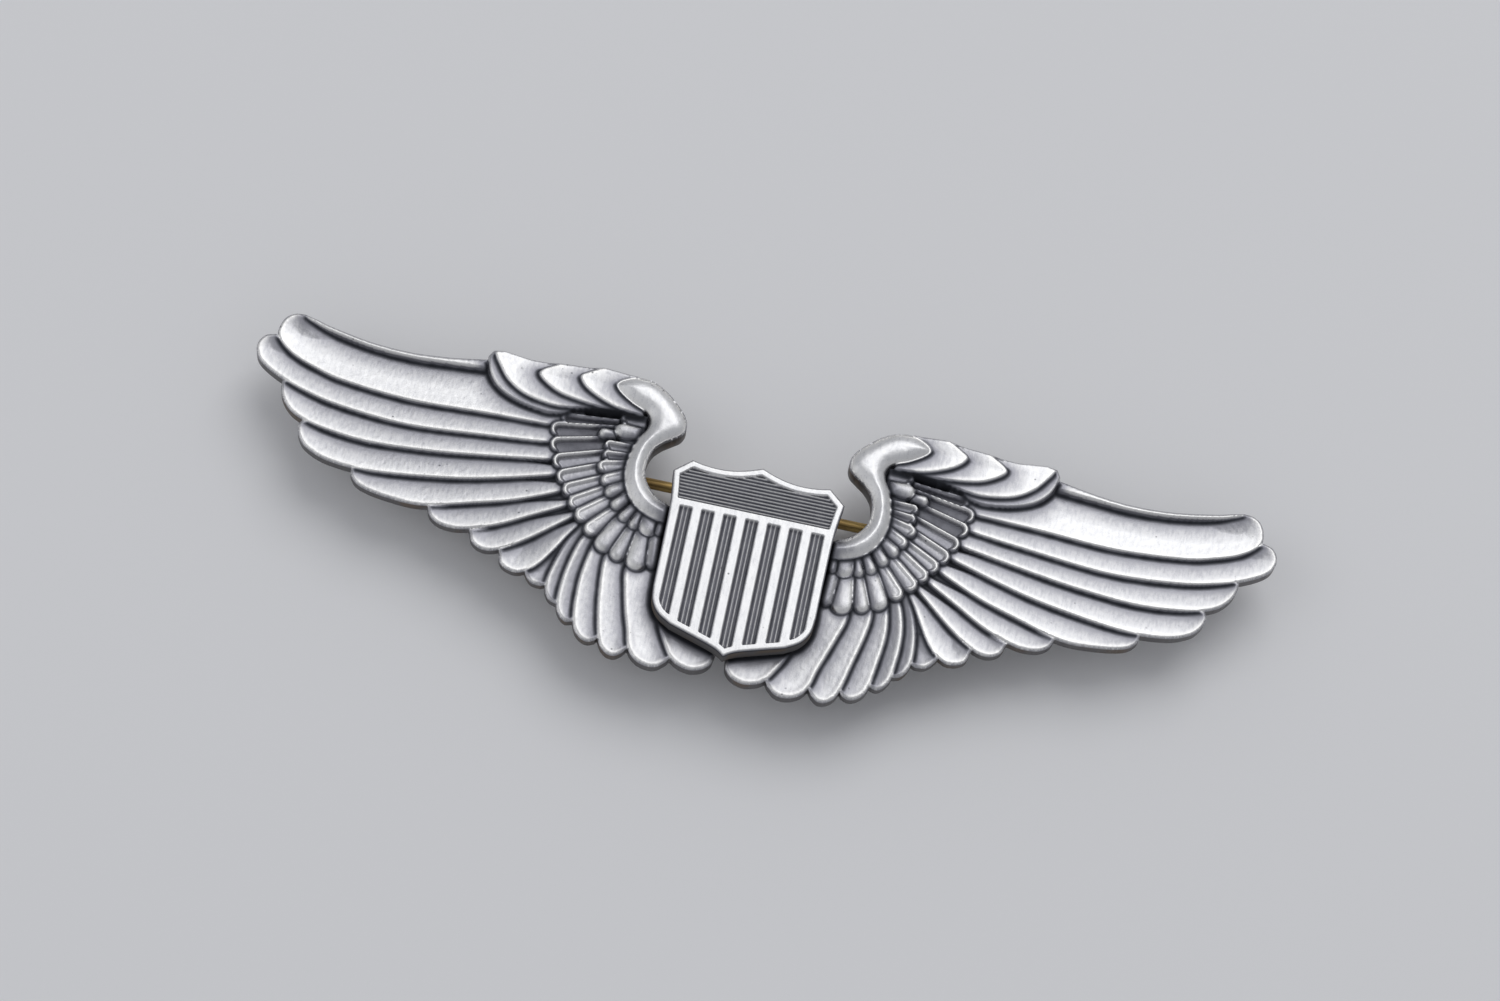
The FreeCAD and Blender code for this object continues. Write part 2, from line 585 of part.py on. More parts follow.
def make_catch_rotor():
    """Slotted disc with a hub in each cheek, and the thumb tab that turns it across the mouth."""
    body = new_body("catch_rotor", "catch_x", "pin_high")
    disc = new_sketch(body, "disc", "YZ_Plane")
    add_circle(disc, "rotor_rad", "0", "-1 * pin_depth")
    pad(body, disc, "rotor_thick", midplane=True)
    hub = new_sketch(body, "hub", "YZ_Plane")
    add_circle(hub, "hub_rad", "0", "-1 * pin_depth")
    pad(body, hub, "cheek_gap + 2 * sheet_thick", midplane=True)

    tab = new_sketch(body, "tab", "YZ_Plane")
    angle = math.radians(270 - size("tab_turn"))
    along = V(math.cos(angle), math.sin(angle), 0)
    across = V(-along.y, along.x, 0) * (size("tab_wide") / 2)
    axis = V(0, -size("pin_depth"), 0)
    near, far = axis + along * size("tab_start"), axis + along * (size("tab_reach") - size("tab_wide") / 2)
    corners = [near - across, far - across, far + across, near + across]
    tab.addGeometry(Part.LineSegment(corners[0], corners[1]))
    tab.addGeometry(Part.Arc(corners[1], axis + along * size("tab_reach"), corners[2]))
    tab.addGeometry(Part.LineSegment(corners[2], corners[3]))
    tab.addGeometry(Part.LineSegment(corners[3], corners[0]))
    pad(body, tab, "rotor_thick - tab_thin", midplane=True)

    slot = new_sketch(body, "slot", "YZ_Plane")
    add_rectangle(slot, "-1 * mouth_wide / 2", "mouth_wide / 2", "-1 * past", "-1 * pin_depth")
    pocket(body, slot, "cheek_gap + 4 * sheet_thick", midplane=True)
    core = new_sketch(body, "core", "YZ_Plane")
    add_circle(core, "mouth_wide / 2", "0", "-1 * pin_depth")
    pocket(body, core, "cheek_gap + 4 * sheet_thick", midplane=True)
    return body


# ---------------------------------------------------------------- build and write

SUB_PARTS = [
    make_wings(),
    make_shield(),
    make_shield_solder(),
    make_patch("hinge_patch", "hinge_x"),
    make_patch_solder("hinge_solder", "hinge_x"),
    make_hinge_bracket(),
    make_hinge_rivet(),
    make_pin_stem(),
    make_patch("catch_patch", "catch_x"),
    make_patch_solder("catch_solder", "catch_x"),
    make_catch_housing(),
    make_catch_rotor(),
]
document.recompute()

for item in document.Objects:
    if {"Invalid", "Error"} & set(item.State):
        raise RuntimeError(f"{item.Name} did not compute: {item.State}")
os.makedirs("parts", exist_ok=True)
for sub_part in SUB_PARTS:
    shape = sub_part.Shape
    if shape.isNull() or not shape.isValid() or len(shape.Solids) != 1:
        raise RuntimeError(f"{sub_part.Label} is not one valid solid")
    shape.exportStep(f"parts/{sub_part.Label}.step")
    box = shape.BoundBox
    print(f"{sub_part.Label:16s} {shape.Volume:9.3f} mm3  x {box.XMin:.2f} {box.XMax:.2f}"
          f"  y {box.YMin:.2f} {box.YMax:.2f}  z {box.ZMin:.2f} {box.ZMax:.2f}")
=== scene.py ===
"""Looks of the pilot wings pin: struck, antiqued-silver wings and shield over a brass pin and its catch."""

import math

import bpy
import bmesh
import numpy as np
from mathutils import Matrix, Vector


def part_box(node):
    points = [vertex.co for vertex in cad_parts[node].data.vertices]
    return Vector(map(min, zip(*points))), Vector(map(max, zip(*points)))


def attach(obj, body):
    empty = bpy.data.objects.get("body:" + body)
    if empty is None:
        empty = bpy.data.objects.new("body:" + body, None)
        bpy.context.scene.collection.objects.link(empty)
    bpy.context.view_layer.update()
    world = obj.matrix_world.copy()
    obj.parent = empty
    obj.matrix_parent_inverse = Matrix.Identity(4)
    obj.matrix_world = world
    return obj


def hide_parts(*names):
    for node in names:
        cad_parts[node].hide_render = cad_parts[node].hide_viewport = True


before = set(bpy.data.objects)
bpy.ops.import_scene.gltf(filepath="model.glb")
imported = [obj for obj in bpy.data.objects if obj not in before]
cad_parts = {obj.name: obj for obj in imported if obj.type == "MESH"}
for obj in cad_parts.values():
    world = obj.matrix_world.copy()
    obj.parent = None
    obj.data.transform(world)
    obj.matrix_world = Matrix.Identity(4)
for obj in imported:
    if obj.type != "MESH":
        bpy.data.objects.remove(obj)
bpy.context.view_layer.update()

MM = 0.001
WINGS_LOW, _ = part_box("wings")
SHIELD_LOW, SHIELD_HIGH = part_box("shield")
# Outlines below are drawn in millimetres about this point: the middle of the shield, on the wings' back.
MIDDLE = Vector((0, (SHIELD_LOW.y + SHIELD_HIGH.y) / 2, WINGS_LOW.z))


# ---------------------------------------------------------------- curves and distances

def smoothstep(value):
    value = np.clip(value, 0, 1)
    return value * value * (3 - 2 * value)


def spline(points, steps=8):
    """A smooth open line through the points."""
    points = np.array(points, float)
    padded = np.vstack([2 * points[0] - points[1], points, 2 * points[-1] - points[-2]])
    t = np.linspace(0, 1, steps, endpoint=False)[:, None]
    runs = []
    for a, b, c, d in zip(padded, padded[1:], padded[2:], padded[3:]):
        runs.append(0.5 * (2 * b + (c - a) * t + (2 * a - 5 * b + 4 * c - d) * t**2
                           + (3 * b - a - 3 * c + d) * t**3))
    return np.vstack(runs + [points[-1:]])


def line_distance(x, y, line):
    """Distance from each grid point to an open line."""
    best = np.full(x.shape, 1e9)
    for (ax, ay), (bx, by) in zip(line, line[1:]):
        dx, dy = bx - ax, by - ay
        t = np.clip(((x - ax) * dx + (y - ay) * dy) / (dx * dx + dy * dy + 1e-12), 0, 1)
        best = np.minimum(best, (x - ax - t * dx)**2 + (y - ay - t * dy)**2)
    return np.sqrt(best)


def inside_distance(x, y, outline):
    """Distance to a closed outline, positive inside it."""
    closed = np.vstack([outline, outline[:1]])
    inside = np.zeros(x.shape, bool)
    for (ax, ay), (bx, by) in zip(closed, closed[1:]):
        if ay != by:
            inside ^= ((ay > y) != (by > y)) & (x < (bx - ax) * (y - ay) / (by - ay) + ax)
    distance = line_distance(x, y, closed)
    return np.where(inside, distance, -distance)


def blur(field, sigma):
    """Gaussian blur, with sigma in cells."""
    reach = int(math.ceil(sigma * 3))
    weights = np.exp(-0.5 * (np.arange(-reach, reach + 1) / sigma)**2)
    weights /= weights.sum()
    for axis in (0, 1):
        padding = [(reach, reach) if a == axis else (0, 0) for a in (0, 1)]
        padded = np.pad(field, padding, mode="edge")
        field = sum(w * np.take(padded, np.arange(field.shape[axis]) + i, axis)
                    for i, w in enumerate(weights))
    return field


class Relief:
    """A struck surface: its height over a grid in millimetres, painted from the lowest layer up.

    "outline" is the distance in from the outside of everything painted, "gap" the distance from the
    wall of the layer above, where patina gathers (on full coverts and round the shield it also holds
    painted shade), and "rim" the distance in from the layer's own free edge, where it is worn bright.
    """

    # Distances are kept up to FAR. A layer's own edge is black, and clears EDGE_RISE times faster than
    # the gap beside it.
    FAR = 2.0
    EDGE_RISE = 14.0

    def __init__(self, low, high, cell):
        self.cell = cell
        self.x, self.y = np.meshgrid(np.arange(low[0], high[0] + cell, cell),
                                     np.arange(low[1], high[1] + cell, cell))
        self.height = np.zeros(self.x.shape)
        self.outline = np.full(self.x.shape, -self.FAR)
        self.gap = np.full(self.x.shape, self.FAR)
        self.rim = np.full(self.x.shape, self.FAR)

    def window(self, outline, margin=1.6):
        """The part of the grid within this margin of an outline's box."""
        low, high = outline.min(0) - margin, outline.max(0) + margin
        first = np.floor((low - [self.x[0, 0], self.y[0, 0]]) / self.cell).astype(int)
        last = np.ceil((high - [self.x[0, 0], self.y[0, 0]]) / self.cell).astype(int)
        first = np.maximum(first, 0)
        return slice(first[1], max(last[1], 0)), slice(first[0], max(last[0], 0))

    def paint(self, outline, surface, free_edge=None, wall=0.14, patina=None, narrow=1.0):
        """Lays one piece of relief over what is there. surface(x, y, depth in, distance from the free
        edge) gives its height, and patina the same way how near its own recesses are, or on a full covert
        how deep its painted shade is. narrow makes the dark line round it thinner."""
        part = self.window(outline)
        x, y = self.x[part], self.y[part]
        if not x.size:
            return
        depth = inside_distance(x, y, outline)
        from_edge = line_distance(x, y, free_edge) if free_edge is not None else np.abs(depth)
        share = smoothstep(0.5 + depth / wall)
        top = surface(x, y, depth, from_edge)
        self.height[part] += (top - self.height[part]) * share
        own = np.clip(depth * self.EDGE_RISE, 0, self.FAR)
        if patina is not None:
            own = np.minimum(own, patina(x, y, depth, from_edge))
        self.gap[part] = np.where(depth > 0, own, np.minimum(self.gap[part], -depth * narrow))
        self.rim[part] = np.where(depth > 0, from_edge, self.rim[part])
        self.outline[part] = np.maximum(self.outline[part], depth)

    def carry_out(self, inset, reach=2.5):
        """Replace the heights outside this inset by those beside them, so that the outer wall is sharp."""
        known = (self.outline > inset).astype(float)
        share = blur(known, reach)
        nearby = blur(self.height * known, reach) / np.maximum(share, 1e-6)
        self.height = np.where((known == 0) & (share > 1e-4), nearby, self.height)


# ---------------------------------------------------------------- wings

WING_CELL = 0.08

# Primary feathers of the right wing, from the longest, on the leading edge, towards the centre line.
# Each is its free edge, from the root along the shaft and round the end.
PRIMARIES = [
    [(13.0, 8.1), (15.5, 7.85), (20.5, 7.7), (26.2, 7.45), (31.2, 7.85), (33.5, 8.4), (35.4, 9.15),
     (36.65, 10.2), (36.8, 11.1), (36.5, 11.95), (35.9, 12.4), (35.2, 12.5)],
    [(12.5, 7.0), (15.5, 6.5), (20, 6.0), (26, 5.5), (31, 5.85), (34, 6.5), (36.1, 7.3), (37.5, 8.15),
     (38.0, 8.95), (38.0, 9.65), (37.6, 10.25), (36.9, 10.5)],
    [(12.2, 5.8), (15.1, 5.2), (20, 4.4), (24, 3.85), (28.5, 3.55), (32.0, 3.9), (34, 4.5), (35.0, 5.3),
     (35.5, 6.2), (35.6, 6.95)],
    [(12.0, 5.1), (14.6, 4.1), (20, 2.55), (24, 1.8), (28, 1.35), (31, 1.55), (32.7, 2.2), (33.4, 2.95),
     (33.65, 3.7), (33.5, 4.15)],
    [(11.6, 4.1), (13.8, 3.0), (17, 1.55), (20, 0.6), (23.5, -0.35), (26.2, -0.3), (28.2, 0.1),
     (29.0, 0.75), (29.15, 1.4)],
    [(11.3, 3.1), (13.2, 2.0), (15.5, 0.7), (18, -0.7), (20.4, -1.5), (21.9, -1.5), (22.8, -1.0),
     (23.15, -0.2)],
    [(11.0, 2.5), (12.8, 1.1), (15.5, -1.2), (17.3, -2.4), (18.5, -2.7), (19.4, -2.3), (19.8, -1.4)],
    [(11.0, 2.0), (12.4, 0.4), (14.2, -2.7), (15.4, -3.75), (16.3, -3.85), (17.1, -3.4), (17.4, -2.3)],
]
# Height of the first primary's face at its free edge, how much lower each one after it is, and how steeply
# the faces sink away from that edge.
PRIMARY_TOP = 1.15
PRIMARY_STEP = 0.045
PRIMARY_TILT = 0.17
# The hidden edge of a primary runs back to the wrist under the feather before it, from this far behind
# the end of the free edge and this far past that feather's own free edge.
HIDDEN_START = 0.7
HIDDEN_LIFT = 0.45
# The first primary has a rim along the leading edge, above a groove.
LEADING_EDGE = [(35.2, 12.5), (34.2, 12.25), (33, 11.93), (30, 11.4), (27, 11.25), (24, 11.5), (21.4, 11.95)]
LEADING_GROOVE = [(21.3, 11.15), (24, 10.95), (27, 10.77), (30, 10.95), (33, 11.5), (34.4, 11.95),
                  (35.0, 12.2)]
LEADING_ROOT = (14.0, 10.5)
LEADING_TOP = 1.22
LEADING_LIP_WIDE = 0.25
LEADING_LIP_DEEP = 0.14

# The fan under the wing, from the feather beside the last primary to the centre line. Each is its free
# edge, down the outer side and round the end, and its hidden edge back to the root.
FAN = [
    [[(11.6, 1.7), (12.6, 0.4), (14.2, -2.0), (15.2, -3.3), (15.1, -3.9), (14.6, -4.4), (13.9, -4.5)],
     [(13.2, -4.2), (11.2, 1.5)]],
    [[(11.6, 1.5), (12.5, 0.1), (13.1, -1.5), (13.5, -3.2), (13.6, -4.2), (13.45, -4.9), (13.1, -5.4),
      (12.6, -5.6)], [(11.9, -5.2), (11.0, 1.3)]],
    [[(11.2, 1.2), (11.95, -0.6), (12.35, -2.3), (12.55, -4.0), (12.5, -5.6), (12.15, -6.4), (11.65, -6.8),
      (11.2, -6.75)], [(10.6, -6.3), (10.4, 0.9)]],
    [[(10.6, 0.8), (11.0, -0.9), (11.3, -3.0), (11.3, -5.0), (11.15, -6.3), (10.85, -7.25), (10.35, -7.8),
      (9.75, -8.0), (9.2, -7.8)], [(8.7, -7.0), (9.4, 0.3)]],
    [[(9.7, 0.3), (9.9, -1.4), (9.85, -3.0), (9.65, -4.8), (9.4, -6.2), (9.1, -7.4), (8.75, -8.15),
      (8.2, -8.6), (7.6, -8.65), (7.1, -8.3)], [(6.5, -7.4), (7.2, 0.0)]],
    [[(8.1, 0.2), (8.25, -2.0), (8.0, -3.5), (7.6, -5.2), (7.2, -6.5), (6.95, -7.5), (6.6, -8.2),
      (6.0, -8.7), (5.2, -8.92), (4.5, -8.8), (3.9, -8.3)], [(3.3, -7.3), (4.0, -2.0)]],
    [[(5.6, -4.0), (5.2, -5.3), (4.8, -6.2), (4.3, -7.1), (3.85, -7.8), (3.2, -8.3), (2.2, -8.55),
      (1.3, -8.3), (0.75, -7.75), (0.6, -7.1)], [(0.3, -5.0), (0.3, -3.0)]],
]
# Height of the first fan feather's face, and how much higher each one after it is.
FAN_TOP = 0.72
FAN_STEP = 0.05
FAN_NARROW_LINE = 1.1
# How wide the trough is behind the rib and how clean of patina, for the narrow feathers and the others.
NARROW_FEATHERS = 3
NARROW_TROUGH = (0.9, 1.2)
WIDE_TROUGH = (1.7, 1.3)
# The right wing's fan is moved by this, in full from SHIFT_OVER below SHIFT_START.
RIGHT_FAN_SHIFT = [-0.38, -0.2]
SHIFT_START = -1.5
SHIFT_OVER = 4.5

# Larger coverts: root, end, half width, and how far the face is hollowed behind its rim.
MID_COVERTS = [
    [(10.9, 9.15), (15.2, 8.65), 0.46, 1.0],
    [(11.0, 8.5), (15.75, 7.6), 0.62, 1.0],
    [(11.0, 7.6), (15.5, 6.35), 0.66, 1.0],
    [(10.8, 6.6), (15.05, 5.05), 0.68, 0.85],
    [(10.6, 5.7), (14.5, 3.85), 0.68, 0.6],
    [(10.4, 4.8), (13.85, 2.9), 0.66, 0.45],
    [(10.2, 4.1), (13.2, 1.95), 0.64, 0.35],
    [(9.9, 3.4), (12.5, 1.05), 0.62, 0.25],
    [(9.4, 2.7), (11.6, 0.1), 0.60, 0.2],
    [(8.9, 2.0), (10.4, -1.0), 0.74, 0.0],
    [(8.1, 1.6), (9.15, -1.5), 0.58, 0.0],
    [(7.3, 1.5), (7.6, -1.95), 0.82, 0.0],
    [(6.6, 1.4), (6.3, -1.6), 0.50, 0.0],
]
SMALL_COVERTS = [
    [(9.0, 9.7), (10.95, 9.55), 0.46, 0.8],
    [(11.0, 8.2), (12.3, 8.05), 0.42, 0.0],
    [(9.3, 8.6), (11.2, 8.6), 0.62, 0.0],
    [(9.5, 7.3), (11.7, 7.2), 0.44, 0.7],
    [(9.5, 6.6), (11.65, 6.35), 0.42, 0.7],
    [(9.4, 6.0), (11.8, 5.35), 0.54, 0.4],
    [(9.4, 5.3), (11.3, 4.2), 0.54, 0.2],
    [(9.2, 4.5), (10.8, 3.35), 0.48, 0.0],
    [(8.9, 3.9), (10.1, 2.4), 0.46, 0.0],
    [(8.4, 3.1), (9.3, 1.55), 0.44, 0.0],
    [(7.9, 2.6), (8.4, 1.1), 0.42, 0.0],
    [(7.2, 2.4), (7.2, 0.8), 0.70, 0.0],
    [(6.4, 2.3), (6.35, 0.95), 0.32, 0.0],
]
# Height of each row's first covert, and how much higher each one after it is.
MID_TOP = 1.15
MID_STEP = 0.012
SMALL_TOP = 1.42
SMALL_STEP = 0.0
COVERT_WALL = 0.1
COVERT_NARROW_LINE = 1.7
# Floor that the small coverts stand on.
COVERT_BED = [(6.0, 3.0), (6.0, 1.6), (8.4, 1.8), (9.9, 3.0), (10.9, 4.6), (11.0, 6.6), (10.6, 8.3),
              (10.3, 9.9), (9.0, 9.9), (9.0, 5.0)]
COVERT_BED_HIGH = 1.0
COVERT_BED_WALL = 0.2

# Shoulder feathers, from the outermost: free edge from the root, round the point, to the upper outline.
SHOULDER = [
    [(14.3, 9.5), (15.1, 8.95), (16.4, 8.72), (18.4, 9.05), (20.0, 9.75), (21.0, 10.8), (21.4, 12.0),
     (21.2, 12.55)],
    [(11.0, 9.9), (13.0, 9.75), (14.6, 9.45), (16.2, 9.35), (18.2, 9.75), (19.6, 10.6), (20.5, 11.7),
     (21.05, 12.6)],
    [(10.5, 9.9), (12.0, 9.9), (13.5, 10.0), (15.6, 10.35), (16.9, 11.0), (17.5, 11.6), (17.2, 12.1),
     (16.2, 12.7)],
    [(10.0, 9.95), (11.5, 10.15), (12.9, 10.65), (14.0, 11.3), (14.5, 12.05), (14.0, 12.5), (13.0, 13.1)],
]
SHOULDER_TOP = [(21.1, 12.7), (20.3, 12.85), (18.3, 12.65), (16.2, 12.75), (13.0, 13.05), (10.3, 13.0)]
SHOULDER_UNDER = (9.3, 9.9)
# The top line's points are used from this far inside the end of a feather's free edge.
TOP_LINE_CLEAR = 0.05
SHOULDER_HIGH = 1.3
SHOULDER_STEP = 0.1
SHOULDER_TILT = 0.06

# Plate under all the feathers, kept inside their outline.
WEB = [(34.0, 11.0), (35.0, 8.5), (33.0, 5.5), (31.0, 3.5), (26.0, 1.0), (20.5, -0.5), (17.0, -1.7),
       (14.5, -2.5), (12.0, -3.5), (9.0, -5.2), (6.0, -5.5), (4.5, -2.0), (5.5, 2.6), (6.8, 2.9),
       (8.5, 3.5), (9.0, 5.0), (9.1, 7.0), (8.5, 8.8), (8.0, 10.5), (9.3, 12.2), (12.0, 12.4),
       (20.0, 12.0), (21.4, 11.2), (28.0, 10.8)]
WEB_HIGH = 0.55

# Neck: lower, outer edge from the shield up to the crook, along the lobe, then back down the gap's side.
NECK = [(5.0, 1.9), (6.2, 2.0), (7.2, 2.2), (8.2, 2.65), (9.0, 3.35), (9.55, 4.4), (9.8, 5.6), (9.7, 7.0),
        (9.35, 8.2), (8.95, 9.0), (8.85, 9.7), (9.2, 10.25), (10.3, 10.75), (11.3, 11.4), (11.75, 11.95),
        (11.45, 12.45), (10.4, 12.9), (9.2, 12.85), (8.1, 12.3), (7.1, 11.45), (6.35, 10.6), (6.08, 9.8),
        (6.3, 9.1), (6.9, 8.6), (7.6, 8.05), (8.15, 7.3), (8.35, 6.3), (8.2, 5.2), (7.65, 4.35),
        (6.9, 3.75), (6.0, 3.45), (5.0, 3.4)]
NECK_EDGE_HIGH = 1.42
NECK_CROWN = 0.4
NECK_BRIM = 0.1
NECK_ROUND = 1.0
NECK_WALL = 0.12

LIP_WIDE = 0.14
LIP_DEEP = 0.07
TILT_REACH = 3.2
# Distances from a fan feather's free edge: the rib's crest, its dark foot and the start of the trough.
RIB_AT = 0.22
RIB_FOOT = 0.5
TROUGH_START = 0.25
RIB_WIDE = 0.2
RIB_HIGH = 0.05
TROUGH_DEEP = 0.11
# The patina field rises by this much, away from the foot, over the trough's width.
RIB_CLEARS = 2.0


def level(height):
    """A flat surface at this height."""
    return lambda x, y, depth, from_edge: np.full(x.shape, height)


def lip_drop(from_edge):
    """How far a rounded free edge falls below its face."""
    return LIP_DEEP * np.clip(1 - from_edge / LIP_WIDE, 0, 1)**2


def feather_face(top, tilt):
    """A face that is highest along its free edge, with a rounded lip, and sinks away from it."""
    def surface(x, y, depth, from_edge):
        return top - lip_drop(from_edge) - tilt * np.minimum(from_edge, TILT_REACH)
    return surface


def rib_face(top, width):
    """A fan feather: a low rib down its outer side, with a shallow trough of this width behind it."""
    def surface(x, y, depth, from_edge):
        rib = np.exp(-((from_edge - RIB_AT) / RIB_WIDE)**2)
        sunk = smoothstep((from_edge - TROUGH_START) / width)
        return top + RIB_HIGH * rib - TROUGH_DEEP * sunk - lip_drop(from_edge)
    return surface


def rib_patina(width, clean):
    """Patina gathers along the foot of a fan feather's rib."""
    def nearness(x, y, depth, from_edge):
        return clean + np.abs(from_edge - RIB_FOOT) / width * RIB_CLEARS
    return nearness


# A covert's root as a share of its width, the points round its end, and how many of its points are free.
ROOT_NARROW = 0.85
TIP_POINTS = 13
FREE_POINTS = 11


def petal_outline(root, end, half):
    """A strip with a round end, and the part of its edge that is free: the upper side and the end."""
    root, end = np.array(root, float), np.array(end, float)
    along = (end - root) / np.linalg.norm(end - root)
    across = np.array([-along[1], along[0]])
    turn = np.linspace(math.pi / 2, -math.pi / 2, TIP_POINTS)
    centre = end - along * half
    tip = [centre + across * half * math.sin(a) + along * half * math.cos(a) for a in turn]
    side = across * half * ROOT_NARROW
    outline = np.array([root + side] + tip + [root - side])
    return outline, outline[:FREE_POINTS]


RIM_WIDE = 0.26
RIM_SHADED = 0.9
RIM_CROWN = 0.12
PETAL_CROWN = 0.32
PETAL_SIT = 0.3
HOLLOW_LIFT = 0.22
DISH_DEEP = 0.42
DISH_SLOPE = 0.16
# A covert hollowed by no more than FULL counts as full. Down a full covert's lower side the field falls
# to FULL_SHADE over FULL_SHADE_OVER half widths, as painted shade.
FULL = 0.15
FULL_SHADE = 0.55
FULL_SHADE_OVER = 1.3
# The patina field in a dish: DISH_CLEAN, less DISH_DARKER times how far it is hollowed.
DISH_CLEAN = 1.4
DISH_DARKER = 1.1


def petal_face(top, half, hollow):
    """A covert: crowned, or hollowed behind a rim that runs along its upper side and round its end."""
    def surface(x, y, depth, from_edge):
        inward = np.clip(depth / half, 0, 1)
        rim_crown = RIM_CROWN * np.clip(1 - np.abs(from_edge - RIM_WIDE / 2) / RIM_WIDE, 0, 1)
        round_crown = PETAL_CROWN * np.sqrt(np.clip(1 - (1 - inward)**2, 0, 1))
        crown = round_crown * (1 - hollow) + rim_crown * hollow
        dish = DISH_DEEP * smoothstep((from_edge - RIM_WIDE) / DISH_SLOPE) * hollow
        return top - PETAL_SIT + HOLLOW_LIFT * hollow + crown - dish
    return surface


def petal_patina_and_shade(half, hollow):
    """Patina fills a covert's hollow; a full one gets painted shade down its lower side."""
    def nearness(x, y, depth, from_edge):
        deep = smoothstep((from_edge - RIM_WIDE * RIM_SHADED) / DISH_SLOPE)
        if hollow > FULL:
            return Relief.FAR * (1 - deep) + (DISH_CLEAN - DISH_DARKER * hollow) * deep
        # Painted shade: a full covert turns darker down its lower side.
        lower = smoothstep((from_edge - RIM_WIDE) / (FULL_SHADE_OVER * half))
        return Relief.FAR * (1 - lower) + FULL_SHADE * lower
    return nearness


def mirrored(points, side):
    """Points of the right wing, for the wing on this side: 1 is right and -1 left."""
    return np.array(points, float) * [side, 1]


def lowered(points, side):
    """The right wing's fan was struck a little lower and nearer the middle than the left one's."""
    points = np.array(points, float)
    share = smoothstep((SHIFT_START - points[:, 1:]) / SHIFT_OVER) * (side > 0)
    return points + share * RIGHT_FAN_SHIFT


def paint_wing(relief, side):
    """All the feathers of one wing, from the lowest."""
    relief.paint(mirrored(WEB, side), level(WEB_HIGH))
    paint_fan(relief, side)
    for index in reversed(range(len(PRIMARIES))):
        paint_primary(relief, index, side)
    paint_leading_edge(relief, side)
    paint_coverts(relief, MID_COVERTS, MID_TOP, MID_STEP, side)
    relief.paint(mirrored(COVERT_BED, side), level(COVERT_BED_HIGH), wall=COVERT_BED_WALL)
    paint_coverts(relief, SMALL_COVERTS, SMALL_TOP, SMALL_STEP, side)
    for index, points in enumerate(SHOULDER):
        free = mirrored(spline(points), side)
        top_line = [p for p in SHOULDER_TOP if p[0] < points[-1][0] - TOP_LINE_CLEAR]
        outline = np.vstack([free, mirrored(top_line + [SHOULDER_UNDER], side)])
        relief.paint(outline, feather_face(SHOULDER_HIGH + SHOULDER_STEP * index, SHOULDER_TILT), free)
    relief.paint(mirrored(spline(NECK), side), neck_face, wall=NECK_WALL)


def paint_fan(relief, side):
    """The feathers under the wing, each over the one before it."""
    for index, (free_edge, hidden_edge) in enumerate(FAN):
        free = mirrored(lowered(spline(free_edge), side), side)
        outline = np.vstack([free, mirrored(lowered(hidden_edge, side), side)])
        width, clean = NARROW_TROUGH if index < NARROW_FEATHERS else WIDE_TROUGH
        relief.paint(outline, rib_face(FAN_TOP + FAN_STEP * index, width), free,
                     patina=rib_patina(width, clean), narrow=FAN_NARROW_LINE)


def paint_primary(relief, index, side):
    """One long feather, which the one before it will cover along its hidden edge."""
    free = mirrored(spline(PRIMARIES[index]), side)
    if index == 0:
        hidden = mirrored(np.vstack([spline(LEADING_EDGE), [LEADING_ROOT]]), side)
    else:
        before = spline(PRIMARIES[index - 1])[::-1]
        crown = PRIMARIES[index][-1]
        covered = before[(before[:, 0] < crown[0] - HIDDEN_START) & (before[:, 1] < crown[1])]
        hidden = mirrored(covered + [0, HIDDEN_LIFT], side)
    face = feather_face(PRIMARY_TOP - PRIMARY_STEP * index, PRIMARY_TILT)
    relief.paint(np.vstack([free, hidden]), face, free)


def paint_leading_edge(relief, side):
    """The rim along the wing's leading edge, above its groove."""
    groove = mirrored(spline(LEADING_GROOVE), side)
    edge = mirrored(spline(LEADING_EDGE), side)

    def surface(x, y, depth, from_edge):
        return LEADING_TOP - LEADING_LIP_DEEP * np.clip(1 - np.abs(depth) / LEADING_LIP_WIDE, 0, 1)**2
    relief.paint(np.vstack([groove, edge]), surface, groove)


def paint_coverts(relief, coverts, top, step, side):
    """One row of short feathers, each over the one before it."""
    for index, (root, end, half, hollow) in enumerate(coverts):
        outline, free = petal_outline(root, end, half)
        relief.paint(mirrored(outline, side), petal_face(top + step * index, half, hollow),
                     mirrored(free, side), wall=COVERT_WALL, patina=petal_patina_and_shade(half, hollow),
                     narrow=COVERT_NARROW_LINE)


def neck_face(x, y, depth, from_edge):
    """A smooth rounded band with a narrow brim."""
    inward = np.clip((depth - NECK_BRIM) / NECK_ROUND, 0, 1)
    return NECK_EDGE_HIGH + NECK_CROWN * (1 - (1 - inward)**2)


# Height of the level seat, how far it runs past the shield, and how far the plate stays inside the shield.
SEAT = 0.95
SEAT_GAP = 0.06
SEAT_INSET = 0.4


def paint_seat(relief):
    """The plate under the shield, the level seat that the shield lies in, and patina with painted shade
    round the shield's edge.
    """
    x, y = relief.x, relief.y
    depth = inside_distance(x, y, shield_outline())
    under = depth > SEAT_INSET
    relief.outline = np.maximum(relief.outline, depth - SEAT_INSET)
    relief.height = np.where(under, SEAT, relief.height)
    near = depth > -SEAT_GAP
    relief.height = np.where(near, np.minimum(relief.height, SEAT), relief.height)
    # Black along the shield's edge and greyer away from it: patina in the joint, with painted shade from the
    # raised shield.
    relief.gap = np.where(near, 0, np.minimum(relief.gap, -depth - SEAT_GAP))


WINGS_GRID_LOW = (-38.6, -9.4)
WINGS_GRID_HIGH = (38.6, 13.6)
